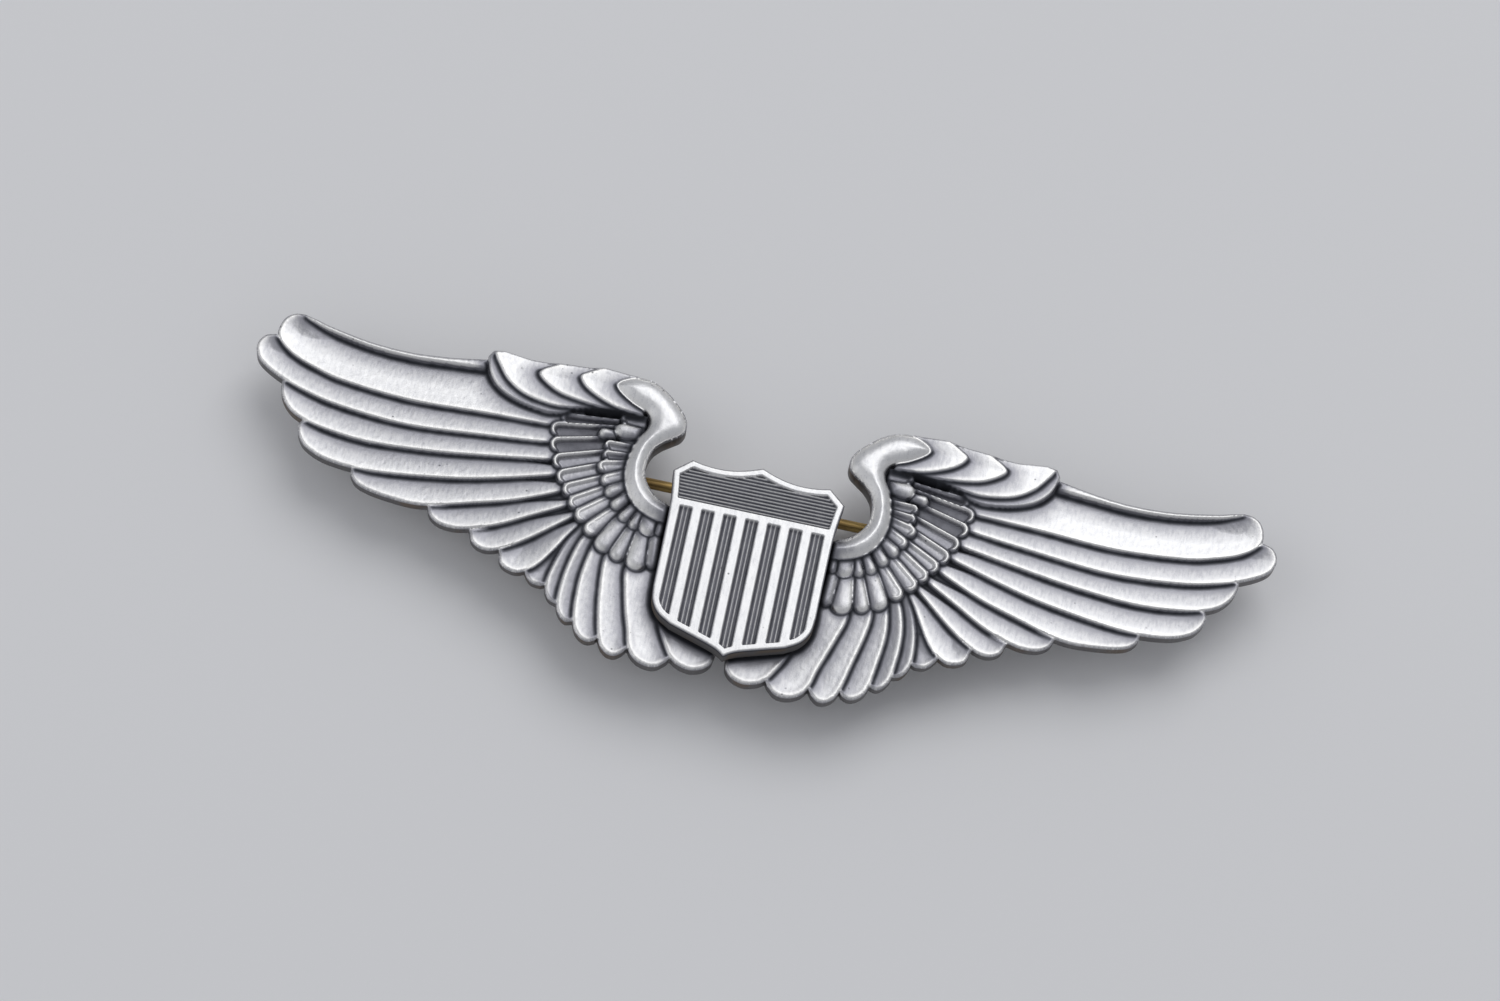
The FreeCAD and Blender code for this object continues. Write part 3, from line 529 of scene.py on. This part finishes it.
# The softening and the size of the grain are in grid cells.
WINGS_SOFTEN = 0.6
GAP_SOFTEN = 0.7
GRAIN_CELLS = 1.0
GRAIN_HIGH = 0.003
WALL_INSET = 0.12
# The rim of the whole piece, this wide, is never blacker than OUTER_GAP.
OUTER_WIDE = 0.25
OUTER_GAP = 0.85
# The grooves soften towards the worn top of the shoulders.
WORN_FROM = 11.8
WORN_OVER = 0.8
WORN_END = 20.8
WORN_GAP = 0.5


def make_wings():
    """The relief of both wings and of the seat between them."""
    relief = Relief(WINGS_GRID_LOW, WINGS_GRID_HIGH, WING_CELL)
    for side in (1, -1):
        paint_wing(relief, side)
    paint_seat(relief)
    relief.height = blur(relief.height, WINGS_SOFTEN)
    relief.carry_out(WALL_INSET)
    grain = blur(np.random.default_rng(7).normal(size=relief.height.shape), GRAIN_CELLS)
    relief.height += GRAIN_HIGH * grain / grain.std()
    outer = smoothstep(1 - relief.outline / OUTER_WIDE)
    relief.gap = relief.gap + (np.maximum(relief.gap, OUTER_GAP) - relief.gap) * outer
    relief.gap += WORN_GAP * smoothstep((relief.y - WORN_FROM) / WORN_OVER) * (np.abs(relief.x) < WORN_END)
    relief.gap = blur(relief.gap, GAP_SOFTEN)
    return relief


# ---------------------------------------------------------------- height map to mesh

def sample(relief, field, x, y):
    """A grid field at scattered points."""
    column = np.clip((x - relief.x[0, 0]) / relief.cell, 0, field.shape[1] - 1.001)
    row = np.clip((y - relief.y[0, 0]) / relief.cell, 0, field.shape[0] - 1.001)
    c, r = column.astype(int), row.astype(int)
    u, v = column - c, row - r
    return ((field[r, c] * (1 - u) + field[r, c + 1] * u) * (1 - v)
            + (field[r + 1, c] * (1 - u) + field[r + 1, c + 1] * u) * v)


# The outer points move onto the outline, by up to SNAP cells.
SNAP = 1.2
LEAST_SLOPE = 0.25
LOWEST_TOP = 0.3
CORNER_PASSES = 3


def relief_mesh(name, relief, bottom, faces, lip):
    """A closed solid with the relief on top, upright sides and a flat underside at height bottom. lip is
    how wide and how deep the outer edge is rounded."""
    near = relief.outline > -0.5 * relief.cell
    kept = near[:-1, :-1] & near[1:, :-1] & near[:-1, 1:] & near[1:, 1:]
    # Cells that touch only at a corner would give an edge with four faces.
    for _ in range(CORNER_PASSES):
        corner = kept[:-1, :-1] & kept[1:, 1:] & ~kept[1:, :-1] & ~kept[:-1, 1:]
        kept[1:, :-1] |= corner
        corner = ~kept[:-1, :-1] & ~kept[1:, 1:] & kept[1:, :-1] & kept[:-1, 1:]
        kept[:-1, :-1] |= corner
    rows, columns = np.nonzero(kept)
    number = np.full(relief.x.shape, -1)
    used = np.zeros(relief.x.shape, bool)
    for dr, dc in ((0, 0), (0, 1), (1, 0), (1, 1)):
        used[rows + dr, columns + dc] = True
    number[used] = np.arange(used.sum())
    x, y = relief.x[used], relief.y[used]

    open_cells = np.pad(~kept, 1, constant_values=True)
    border = used & (open_cells[:-1, :-1] | open_cells[:-1, 1:] | open_cells[1:, :-1] | open_cells[1:, 1:])
    slope_y, slope_x = np.gradient(relief.outline, relief.cell)
    steep = np.maximum(slope_x**2 + slope_y**2, LEAST_SLOPE)
    shift = np.clip(relief.outline / steep, -relief.cell * SNAP, relief.cell * SNAP)
    x = x - np.where(border, shift * slope_x, 0)[used]
    y = y - np.where(border, shift * slope_y, 0)[used]
    wide, deep = lip
    depth = np.where(border, 0, relief.outline)[used]
    z = sample(relief, relief.height, x, y) - deep * np.clip(1 - depth / wide, 0, 1)**2
    z = np.maximum(z, LOWEST_TOP)

    quads = np.stack([number[rows, columns], number[rows, columns + 1],
                      number[rows + 1, columns + 1], number[rows + 1, columns]], 1)
    mesh = bpy.data.meshes.new(name)
    points = np.stack([x * MM, y * MM + MIDDLE.y, z * MM + MIDDLE.z], 1)
    mesh.from_pydata(points.tolist(), [], quads.tolist())
    shape = bmesh.new()
    shape.from_mesh(mesh)
    rim = [edge for edge in shape.edges if edge.is_boundary]
    made = bmesh.ops.extrude_edge_only(shape, edges=rim)["geom"]
    floor = [item for item in made if isinstance(item, bmesh.types.BMVert)]
    for vertex in floor:
        vertex.co.z = bottom
    loops = [edge for edge in made if isinstance(edge, bmesh.types.BMEdge) and edge.is_boundary]
    bmesh.ops.triangle_fill(shape, edges=loops, use_beauty=False)
    bmesh.ops.triangulate(shape, faces=shape.faces[:])
    bmesh.ops.recalc_face_normals(shape, faces=shape.faces[:])
    shape.to_mesh(mesh)
    shape.free()
    piece = bpy.data.objects.new(name, mesh)
    bpy.context.scene.collection.objects.link(piece)
    thin_out(piece, faces)
    return piece


def thin_out(piece, faces):
    """Collapse the flatter triangles, down to about this many."""
    if len(piece.data.polygons) <= faces:
        return
    modifier = piece.modifiers.new("thin", "DECIMATE")
    modifier.ratio = faces / len(piece.data.polygons)
    graph = bpy.context.evaluated_depsgraph_get()
    piece.data = bpy.data.meshes.new_from_object(piece.evaluated_get(graph))
    piece.modifiers.clear()


# The foot is within FOOT_HIGH of the back, and the back's faces have a normal below FACES_DOWN.
FOOT_HIGH = 0.02
FACES_DOWN = -0.9
RELIEF_CREASE = math.radians(50)


def mark_surface(piece, relief, bottom):
    """Store the patina and painted-shade fields on the vertices, give the back its own material, and keep
    creases sharp.
    """
    mesh = piece.data
    points = np.zeros(len(mesh.vertices) * 3, np.float32)
    mesh.vertices.foreach_get("co", points)
    points = points.reshape(-1, 3)
    x = points[:, 0] / MM
    y = (points[:, 1] - MIDDLE.y) / MM
    fields = {
        "gap": sample(relief, relief.gap, x, y),
        "rim": sample(relief, relief.rim, x, y),
        "foot": points[:, 2] < bottom + FOOT_HIGH * MM,
    }
    for name, values in fields.items():
        attribute = mesh.attributes.new(name, "FLOAT", "POINT")
        attribute.data.foreach_set("value", values.astype(np.float32))
    normals = np.zeros(len(mesh.polygons) * 3, np.float32)
    mesh.polygons.foreach_get("normal", normals)
    mesh.polygons.foreach_set("material_index", (normals[2::3] < FACES_DOWN).astype(np.int32))
    mesh.shade_smooth()
    mesh.set_sharp_from_angle(angle=RELIEF_CREASE)


# ---------------------------------------------------------------- shield

SHIELD_CELL = 0.045
SHIELD_GRID = (6.9, 8.0)
SHIELD_WALL = 0.01
SHIELD_SOFTEN = 0.5
SHIELD_INSET = 0.1
SHIELD_TOP = 2.25
RIM = 0.47
# The sunk chief at the top, and sunk stripes below it, centred on multiples of the pitch.
CUT_WALL = 0.08
CHIEF_LOW = 3.83
CHIEF_PITCH = 0.27
CHIEF_LINE_GAIN = 1.5
CHIEF_LINE_FLOOR = 0.35
STRIPE_TOP = 3.32
STRIPE_PITCH = 1.62
STRIPE_HALF = 0.48
STRIPES_BESIDE = 3
STRIPE_LINE_AT = 0.16
STRIPE_LINE_WIDE = 0.075
# How deep both are sunk, and how far the lines rise from their floor.
ENGRAVED = 0.3
LINE_HIGH = 0.16
# The patina field on that floor, how much cleaner it is at full height, and the least that counts as sunk.
FLOOR_CLEAN = 0.2
LINE_CLEAN = 2.3
BARELY_SUNK = 0.02

# The right half, from the top point to the bottom one, in the runs between its corners.
SHIELD_HALF = [
    [(0, 7.5), (0.9, 7.15), (1.9, 6.88), (3.0, 6.76), (4.1, 6.82), (5.1, 7.0)],
    [(5.1, 7.0), (6.33, 5.92)],
    [(6.33, 5.92), (6.05, 3.5), (5.98, 0), (5.95, -3.2)],
    [(5.95, -3.2), (5.78, -4.35), (5.2, -5.25), (4.2, -5.9)],
    [(4.2, -5.9), (2.6, -6.4), (1.2, -6.85), (0.5, -7.15), (0, -7.5)],
]


def shield_outline():
    """The whole outline, clockwise from the top point."""
    right = np.vstack([spline(run)[:-1] for run in SHIELD_HALF])
    left = (right * [-1, 1])[1:][::-1]
    return np.vstack([right, [SHIELD_HALF[-1][-1]], left])


def shield_surface(x, y, depth, from_edge):
    """Rim and bars at full height, with a lined chief and lined stripes sunk between them."""
    within = smoothstep((depth - RIM) / CUT_WALL)
    chief = within * smoothstep((y - CHIEF_LOW) / CUT_WALL)
    stripe_number = np.clip(np.round(x / STRIPE_PITCH), -STRIPES_BESIDE, STRIPES_BESIDE)
    aside = np.abs(x - STRIPE_PITCH * stripe_number)
    stripe = within * smoothstep((STRIPE_TOP - y) / CUT_WALL) * smoothstep((STRIPE_HALF - aside) / CUT_WALL)
    wave = np.cos(y * 2 * math.pi / CHIEF_PITCH)
    chief_line = np.clip(wave * CHIEF_LINE_GAIN - CHIEF_LINE_FLOOR, 0, 1)
    stripe_line = np.exp(-((aside - STRIPE_LINE_AT) / STRIPE_LINE_WIDE)**2)
    return SHIELD_TOP - (chief * (ENGRAVED - LINE_HIGH * chief_line)
                         + stripe * (ENGRAVED - LINE_HIGH * stripe_line))


def shield_patina(x, y, depth, from_edge):
    """Patina fills the sunk parts, and is worn off the lines that rise from their floor."""
    sunk = SHIELD_TOP - shield_surface(x, y, depth, from_edge)
    clean = FLOOR_CLEAN + LINE_CLEAN * np.clip(1 - sunk / ENGRAVED, 0, 1)
    return np.where(sunk > BARELY_SUNK, clean, Relief.FAR)


def make_shield():
    """The relief of the shield."""
    half_x, half_y = SHIELD_GRID
    relief = Relief((-half_x, -half_y), (half_x, half_y), SHIELD_CELL)
    relief.paint(shield_outline(), shield_surface, wall=SHIELD_WALL, patina=shield_patina)
    relief.height = blur(relief.height, SHIELD_SOFTEN)
    relief.carry_out(SHIELD_INSET)
    return relief


WEAR_CELLS = 2.0
WEAR_WIDE = 0.6


def shield_wear(relief):
    """Distance from the nearest edge of a bar or the rim, for the bright worn lines."""
    sunk = relief.gap < Relief.FAR * 0.5
    near = blur(sunk.astype(float), WEAR_CELLS)
    return np.where(sunk, Relief.FAR, WEAR_WIDE * (1 - np.clip(near * 2, 0, 1)))


# ---------------------------------------------------------------- materials

class Nodes:
    """Short helpers for building one material's node tree."""

    SPECK_CORE = 0.4

    def __init__(self, name):
        self.material = bpy.data.materials.new(name)
        self.material.use_nodes = True
        self.nodes = self.material.node_tree.nodes
        self.links = self.material.node_tree.links
        self.shader = self.nodes["Principled BSDF"]
        self.place = self.nodes.new("ShaderNodeTexCoord").outputs["Object"]

    def link(self, value, socket):
        """Join another node's output to a socket, or set it to a plain value."""
        if isinstance(value, bpy.types.NodeSocket):
            self.links.new(value, socket)
        else:
            socket.default_value = value

    def math(self, operation, first, second=0.0):
        node = self.nodes.new("ShaderNodeMath")
        node.operation = operation
        self.link(first, node.inputs[0])
        self.link(second, node.inputs[1])
        return node.outputs[0]

    def attribute(self, name):
        node = self.nodes.new("ShaderNodeAttribute")
        node.attribute_name = name
        return node.outputs["Fac"]

    def span(self, value, low, high, first=0.0, last=1.0):
        """Runs smoothly from first to last as the value goes from low to high."""
        node = self.nodes.new("ShaderNodeMapRange")
        node.interpolation_type = "SMOOTHSTEP"
        for socket, number in zip(node.inputs, (value, low, high, first, last)):
            self.link(number, socket)
        return node.outputs[0]

    def noise(self, scale, detail=3.0, stretch=(1, 1, 1), turn=0.0):
        mapping = self.nodes.new("ShaderNodeMapping")
        mapping.inputs["Scale"].default_value = stretch
        mapping.inputs["Rotation"].default_value = (0, 0, turn)
        self.links.new(self.place, mapping.inputs["Vector"])
        node = self.nodes.new("ShaderNodeTexNoise")
        node.inputs["Scale"].default_value = scale
        node.inputs["Detail"].default_value = detail
        self.links.new(mapping.outputs[0], node.inputs["Vector"])
        return node.outputs["Fac"]

    def specks(self, scale, size):
        """Sparse round spots, 1 at the middle of each."""
        node = self.nodes.new("ShaderNodeTexVoronoi")
        node.inputs["Scale"].default_value = scale
        self.links.new(self.place, node.inputs["Vector"])
        return self.span(node.outputs["Distance"], size, size * self.SPECK_CORE)

    def ramp(self, value, stops):
        node = self.nodes.new("ShaderNodeValToRGB")
        elements = node.color_ramp.elements
        while len(elements) < len(stops):
            elements.new(0.5)
        for element, (place, colour) in zip(elements, stops):
            element.position = place
            element.color = (*colour, 1)
        self.link(value, node.inputs[0])
        return node.outputs["Color"]

    def mix(self, share, first, second):
        node = self.nodes.new("ShaderNodeMix")
        node.data_type = "RGBA"
        self.link(share, node.inputs["Factor"])
        for value, socket in ((first, node.inputs[6]), (second, node.inputs[7])):
            self.link((*value, 1) if isinstance(value, tuple) else value, socket)
        return node.outputs[2]

    def bump(self, height, strength, distance):
        node = self.nodes.new("ShaderNodeBump")
        node.inputs["Strength"].default_value = strength
        node.inputs["Distance"].default_value = distance
        self.links.new(height, node.inputs["Height"])
        self.links.new(node.outputs[0], self.shader.inputs["Normal"])


BLACK = (0.010, 0.011, 0.016)
DARK = (0.045, 0.048, 0.060)
GREY = (0.27, 0.27, 0.30)
SILVER = (0.42, 0.42, 0.445)
PALE = (0.71, 0.71, 0.72)
BRIGHT = (0.87, 0.86, 0.84)
SIDE = (0.13, 0.125, 0.125)
BROWN = (0.16, 0.115, 0.075)
# Colour by the distance from a recess, as a share of Relief.FAR; on full coverts and round the shield the
# field holds painted shade instead.
PATINA_AND_SHADE = [(0.0, BLACK), (0.04, BLACK), (0.085, DARK), (0.175, GREY), (0.48, SILVER), (0.95, PALE)]
# Noise scales are per metre.
WOBBLE_SCALE = 900
SCRATCH_SCALE = 2400
SPECKLE_SCALE = 9000
PIT_SCALE = 1500
PIT_PATCH_SCALE = 350
STAIN_SCALE = 300
GAP_WOBBLE = 0.12
# Edges are bright up to the first distance and plain from the second, and faces are clear of patina
# from the second of theirs.
EDGE_BRIGHT = (0.08, 0.55)
FACE_CLEAR = (0.4, 1.0)
EDGE_SHARE = 0.75
WORN_SHARE = 0.22
SOILED_SHARE = 0.22
PIT_SIZE = 0.16
PIT_SHARE = 0.7
SIDE_SHARE = 0.9
STAIN_SHARE = 0.55
# Patina is matt and hardly metallic. It is full up to the first distance and gone from the second.
PATINA_ENDS = (0.1, 0.45)
PATINA_UNMETALLIC = 0.85
PATINA_ROUGH = 0.4
SILVER_ROUGH = 0.34
SPECKLE_ROUGH = 0.2
SILVER_BUMP = 0.22
BUMP_DEPTH = 0.03 * MM


def antiqued_silver(name):
    """Struck silver: polished bright on its edges, greyer towards each recess and black in it, with painted
    shade on full coverts and round the shield.
    """
    tree = Nodes(name)
    wobble = tree.math("SUBTRACT", tree.noise(WOBBLE_SCALE, 2), 0.5)
    gap = tree.math("ADD", tree.attribute("gap"), tree.math("MULTIPLY", wobble, GAP_WOBBLE))
    # Patina by each recess, and painted shade on full coverts and round the shield.
    colour = tree.ramp(tree.math("DIVIDE", gap, Relief.FAR), PATINA_AND_SHADE)

    edge = tree.span(tree.attribute("rim"), EDGE_BRIGHT[1], EDGE_BRIGHT[0])
    clear = tree.span(gap, *FACE_CLEAR)
    share = tree.math("MULTIPLY", tree.math("MULTIPLY", edge, clear), EDGE_SHARE)
    colour = tree.mix(share, colour, BRIGHT)

    # Fine scratches, worn bright in places and soiled in others, and a few pits.
    scratches = tree.noise(SCRATCH_SCALE, 3, (2.0, 0.6, 1))
    speckle = tree.noise(SPECKLE_SCALE, 2)
    worn = tree.span(tree.math("ADD", scratches, tree.math("MULTIPLY", speckle, 0.6)), 0.62, 0.98)
    worn = tree.math("MULTIPLY", tree.math("MULTIPLY", worn, clear), WORN_SHARE)
    colour = tree.mix(worn, colour, BRIGHT)
    soiled = tree.span(tree.math("ADD", scratches, speckle), 0.95, 0.7)
    soiled = tree.math("MULTIPLY", tree.math("MULTIPLY", soiled, clear), SOILED_SHARE)
    colour = tree.mix(soiled, colour, GREY)
    pit_patches = tree.span(tree.noise(PIT_PATCH_SCALE, 2), 0.55, 0.66)
    pits = tree.math("MULTIPLY", tree.specks(PIT_SCALE, PIT_SIZE), pit_patches)
    pits = tree.math("MULTIPLY", pits, clear)
    colour = tree.mix(tree.math("MULTIPLY", pits, PIT_SHARE), colour, DARK)

    # The cut sides are dull and painted darker towards the back as shade, with brown stains by the back.
    foot = tree.attribute("foot")
    colour = tree.mix(tree.span(foot, 0.0, 0.22, 0.0, SIDE_SHARE), colour, SIDE)
    stains = tree.span(tree.noise(STAIN_SCALE, 3), 0.5, 0.62)
    brown = tree.math("MULTIPLY", tree.span(foot, 0.0, 0.2), stains)
    colour = tree.mix(tree.math("MULTIPLY", brown, STAIN_SHARE), colour, BROWN)
    tree.link(colour, tree.shader.inputs["Base Color"])

    patina = tree.span(gap, PATINA_ENDS[1], PATINA_ENDS[0])
    metallic = tree.math("SUBTRACT", 1.0, tree.math("MULTIPLY", patina, PATINA_UNMETALLIC))
    tree.link(metallic, tree.shader.inputs["Metallic"])
    rough = tree.math("ADD", SILVER_ROUGH, tree.math("MULTIPLY", speckle, SPECKLE_ROUGH))
    rough = tree.math("ADD", rough, tree.math("MULTIPLY", patina, PATINA_ROUGH))
    tree.link(rough, tree.shader.inputs["Roughness"])
    tree.bump(tree.math("ADD", scratches, speckle), SILVER_BUMP, BUMP_DEPTH)
    return tree.material


# Findings and backs.
CLOUD_SCALE = 180
CLOUD_SHARE = 0.75
SPOT_SCALE = 900
SPOT_PATCH_SCALE = 300
SPOT_SIZE = 0.2
SPOT_SHARE = 0.6
SPOT_DARK = 0.3
HANDLING_SCALE = 1100
HANDLING_TURN = 0.3
HANDLING_ROUGH = 0.22
PLAIN_BUMP = 0.3


def plain_metal(name, base, tarnish, roughness, grain_stretch=(1, 1, 1)):
    """Satin metal with tarnish clouds and fine handling scratches."""
    tree = Nodes(name)
    cloud = tree.span(tree.noise(CLOUD_SCALE, 4), 0.38, 0.68)
    colour = tree.mix(tree.math("MULTIPLY", cloud, CLOUD_SHARE), base, tarnish)
    spot_patches = tree.span(tree.noise(SPOT_PATCH_SCALE, 2), 0.5, 0.6)
    spots = tree.math("MULTIPLY", tree.specks(SPOT_SCALE, SPOT_SIZE), spot_patches)
    spot_colour = tuple(SPOT_DARK * channel for channel in tarnish)
    colour = tree.mix(tree.math("MULTIPLY", spots, SPOT_SHARE), colour, spot_colour)
    tree.link(colour, tree.shader.inputs["Base Color"])
    tree.shader.inputs["Metallic"].default_value = 1.0
    grain = tree.noise(HANDLING_SCALE, 4, grain_stretch, HANDLING_TURN)
    rough = tree.math("ADD", roughness, tree.math("MULTIPLY", grain, HANDLING_ROUGH))
    tree.link(rough, tree.shader.inputs["Roughness"])
    tree.bump(tree.math("ADD", grain, cloud), PLAIN_BUMP, BUMP_DEPTH)
    return tree.material


# ---------------------------------------------------------------- pieces

def relief_piece(name, relief, bottom, faces, lip, materials, node):
    """A mesh of this relief in place of one CAD node, with a material for its front and one for its back."""
    piece = relief_mesh(name, relief, bottom, faces, lip)
    mark_surface(piece, relief, bottom)
    for material in materials:
        piece.data.materials.append(material)
    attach(piece, "badge")
    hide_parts(node)
    return piece


# Name, colour, tarnish, roughness and, where it is drawn out one way, the stretch of the grain.
back_metal = plain_metal("wing_back", (0.55, 0.54, 0.53), (0.22, 0.20, 0.19), 0.34, (1, 7, 1))
silver = antiqued_silver("antiqued_silver")
shield_silver = antiqued_silver("shield_silver")
findings = plain_metal("findings_silver", (0.62, 0.61, 0.59), (0.30, 0.285, 0.26), 0.30)
solder = plain_metal("solder_grey", (0.36, 0.36, 0.36), (0.14, 0.14, 0.14), 0.45)
# The brass is aged, and darkened further as painted shade for the stem lying in shadow under the wings.
brass = plain_metal("aged_and_shaded_brass", (0.44, 0.31, 0.12), (0.20, 0.12, 0.05), 0.30, (1, 8, 8))

# Faces to keep, and how wide and how deep the outer edge is rounded.
WINGS_FACES = 190000
WINGS_LIP = (0.16, 0.09)
SHIELD_FACES = 185000
SHIELD_LIP = (0.16, 0.10)

wings_relief = make_wings()
relief_piece("struck_wings", wings_relief, WINGS_LOW.z, WINGS_FACES, WINGS_LIP, (silver, back_metal),
             "wings")
shield_relief = make_shield()
shield_relief.rim = shield_wear(shield_relief)
relief_piece("lined_shield", shield_relief, SHIELD_LOW.z, SHIELD_FACES, SHIELD_LIP,
             (shield_silver, back_metal), "shield")

NODE_METALS = {
    "shield_solder": solder, "hinge_patch": findings, "hinge_bracket": findings, "catch_patch": findings,
    "catch_housing": findings, "pin_stem": brass, "catch_rotor": brass,
}
for node, material in NODE_METALS.items():
    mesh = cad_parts[node].data
    mesh.materials.clear()
    mesh.materials.append(material)

# Pressed and cut sheet has its edges broken, by this many millimetres.
EDGE_ROUND = {"hinge_patch": 0.08, "catch_patch": 0.08, "hinge_bracket": 0.07, "catch_housing": 0.06,
              "catch_rotor": 0.06}
BROKEN_OVER = math.radians(35)
for node, width in EDGE_ROUND.items():
    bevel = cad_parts[node].modifiers.new("broken_edges", "BEVEL")
    bevel.width = width * MM
    bevel.segments = 2
    bevel.limit_method = "ANGLE"
    bevel.angle_limit = BROKEN_OVER


TURNED_CREASE = math.radians(40)
QUARTER_TURN = np.linspace(0, math.pi / 2, 9)


def turned(name, profile, place, upright, material, node, turns=96):
    """A closed turned solid: profile is (radius, height) pairs in millimetres along the axis."""
    ring = []
    for radius, height in profile:
        for step in range(turns):
            angle = 2 * math.pi * step / turns
            across, along = radius * math.cos(angle), radius * math.sin(angle)
            local = (across, along, height) if upright else (across, height, -along)
            ring.append(Vector(place) + Vector(local) * MM)
    faces = []
    rings = len(profile)
    for row in range(rings):
        following = (row + 1) % rings
        for step in range(turns):
            beside = (step + 1) % turns
            faces.append((row * turns + step, row * turns + beside,
                          following * turns + beside, following * turns + step))
    mesh = bpy.data.meshes.new(name)
    mesh.from_pydata(ring, [], faces)
    shape = bmesh.new()
    shape.from_mesh(mesh)
    bmesh.ops.remove_doubles(shape, verts=shape.verts[:], dist=1e-7)
    bmesh.ops.recalc_face_normals(shape, faces=shape.faces[:])
    shape.to_mesh(mesh)
    shape.free()
    mesh.shade_smooth()
    mesh.set_sharp_from_angle(angle=TURNED_CREASE)
    mesh.materials.append(material)
    piece = bpy.data.objects.new(name, mesh)
    bpy.context.scene.collection.objects.link(piece)
    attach(piece, "badge")
    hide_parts(node)
    return piece


# How far solder runs past the edge of its layer, where its bend starts inside it, and what share of the
# solder and the patch together it climbs.
FILLET_OUT = 0.1
FILLET_IN = 0.15
FILLET_CLIMB = 0.75


def solder_fillet(name, node):
    """Solder that has run out from under a patch and up its edge."""
    low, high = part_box(node)
    patch_low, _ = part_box(node.replace("solder", "patch"))
    outer = (high.x - low.x) / 2 / MM + FILLET_OUT
    inner = (high.x - low.x) / 2 / MM - FILLET_IN
    climb = (high.z - patch_low.z) / MM * FILLET_CLIMB
    bend = [(inner + (outer - inner) * (1 - math.cos(t)), -climb * (1 - math.sin(t)))
            for t in QUARTER_TURN]
    profile = [(0, 0), (0, -(high.z - low.z) / MM), (inner, -(high.z - low.z) / MM)] + bend
    place = ((low.x + high.x) / 2, (low.y + high.y) / 2, high.z)
    turned(name, profile, place, True, solder, node)


RIVET_HEAD = 0.3
RIVET_SHANK = 0.4


def rivet(name, node):
    """Shank between two domed heads."""
    low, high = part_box(node)
    half = (high.y - low.y) / 2 / MM
    head = (high.x - low.x) / 2 / MM
    under = half - RIVET_HEAD
    dome = [(head * math.sin(t), under + RIVET_HEAD * math.cos(t)) for t in QUARTER_TURN]
    profile = dome + [(RIVET_SHANK, under), (RIVET_SHANK, -under)]
    profile += [(radius, -height) for radius, height in dome[::-1]]
    place = tuple((low + high) / 2)
    turned(name, profile, place, False, findings, node, turns=48)


solder_fillet("hinge_fillet", "hinge_solder")
solder_fillet("catch_fillet", "catch_solder")
rivet("domed_rivet", "hinge_rivet")


# ---------------------------------------------------------------- stage, light and camera

FLOOR_REACH = 1.5
FLOOR_GREY = (0.80, 0.80, 0.81, 1)
FLOOR_ROUGH = 0.85
WORLD_TINT = (0.93, 0.95, 1.0, 1)
WORLD_BRIGHTNESS = 0.44
# Place and size in metres, power in watts.
KEY_LIGHT = ((0.18, 0.64, 0.95), 1.0, 4.4)
FILL_LIGHT = ((-0.75, -0.15, 0.80), 0.7, 0.8)


def make_floor():
    """A wide pale floor for the picture, which is no part of the pin."""
    mesh = bpy.data.meshes.new("floor")
    corners = [(-1, -1), (1, -1), (1, 1), (-1, 1)]
    mesh.from_pydata([(x * FLOOR_REACH, y * FLOOR_REACH, 0) for x, y in corners], [], [(0, 1, 2, 3)])
    floor = bpy.data.objects.new("floor", mesh)
    bpy.context.scene.collection.objects.link(floor)
    tree = Nodes("pale_floor")
    tree.shader.inputs["Base Color"].default_value = FLOOR_GREY
    tree.shader.inputs["Roughness"].default_value = FLOOR_ROUGH
    mesh.materials.append(tree.material)


def area_light(name, place, size, power):
    """A round lamp turned towards the middle of the shield."""
    lamp = bpy.data.lights.new(name, "AREA")
    lamp.shape = "DISK"
    lamp.size = size
    lamp.energy = power
    light = bpy.data.objects.new(name, lamp)
    bpy.context.scene.collection.objects.link(light)
    light.location = place
    light.rotation_euler = (MIDDLE - Vector(place)).to_track_quat("-Z", "Y").to_euler()


def make_world():
    """An even, slightly cool light from all round."""
    world = bpy.data.worlds.new("studio")
    world.use_nodes = True
    background = world.node_tree.nodes["Background"]
    background.inputs["Color"].default_value = WORLD_TINT
    background.inputs["Strength"].default_value = WORLD_BRIGHTNESS
    bpy.context.scene.world = world


LENS = 100
SENSOR = 36
AZIMUTH = math.radians(0.91)
ELEVATION = math.radians(66.0)
ROLL = math.radians(11.18)
DISTANCE = 301.26 * MM
PAN = Vector((0.658 * MM, 5.255 * MM))


def make_camera():
    """Looks down on the face from the lower edge, rolled a little, past the middle of the shield."""
    back = Vector((math.sin(AZIMUTH) * math.cos(ELEVATION), -math.cos(AZIMUTH) * math.cos(ELEVATION),
                   math.sin(ELEVATION)))
    sideways = Vector((math.cos(AZIMUTH), math.sin(AZIMUTH), 0))
    upright = back.cross(sideways)
    right = sideways * math.cos(ROLL) + upright * math.sin(ROLL)
    up = upright * math.cos(ROLL) - sideways * math.sin(ROLL)
    place = MIDDLE + right * PAN.x + up * PAN.y + back * DISTANCE
    lens = bpy.data.cameras.new("camera")
    lens.lens = LENS
    lens.sensor_width = SENSOR
    lens.clip_start = 0.01
    lens.clip_end = 10
    camera = bpy.data.objects.new("camera", lens)
    bpy.context.scene.collection.objects.link(camera)
    camera.matrix_world = Matrix.Translation(place) @ Matrix((right, up, back)).transposed().to_4x4()
    bpy.context.scene.camera = camera


make_floor()
make_world()
area_light("key", *KEY_LIGHT)
area_light("fill", *FILL_LIGHT)
make_camera()
bpy.context.scene.view_settings.view_transform = "Standard"
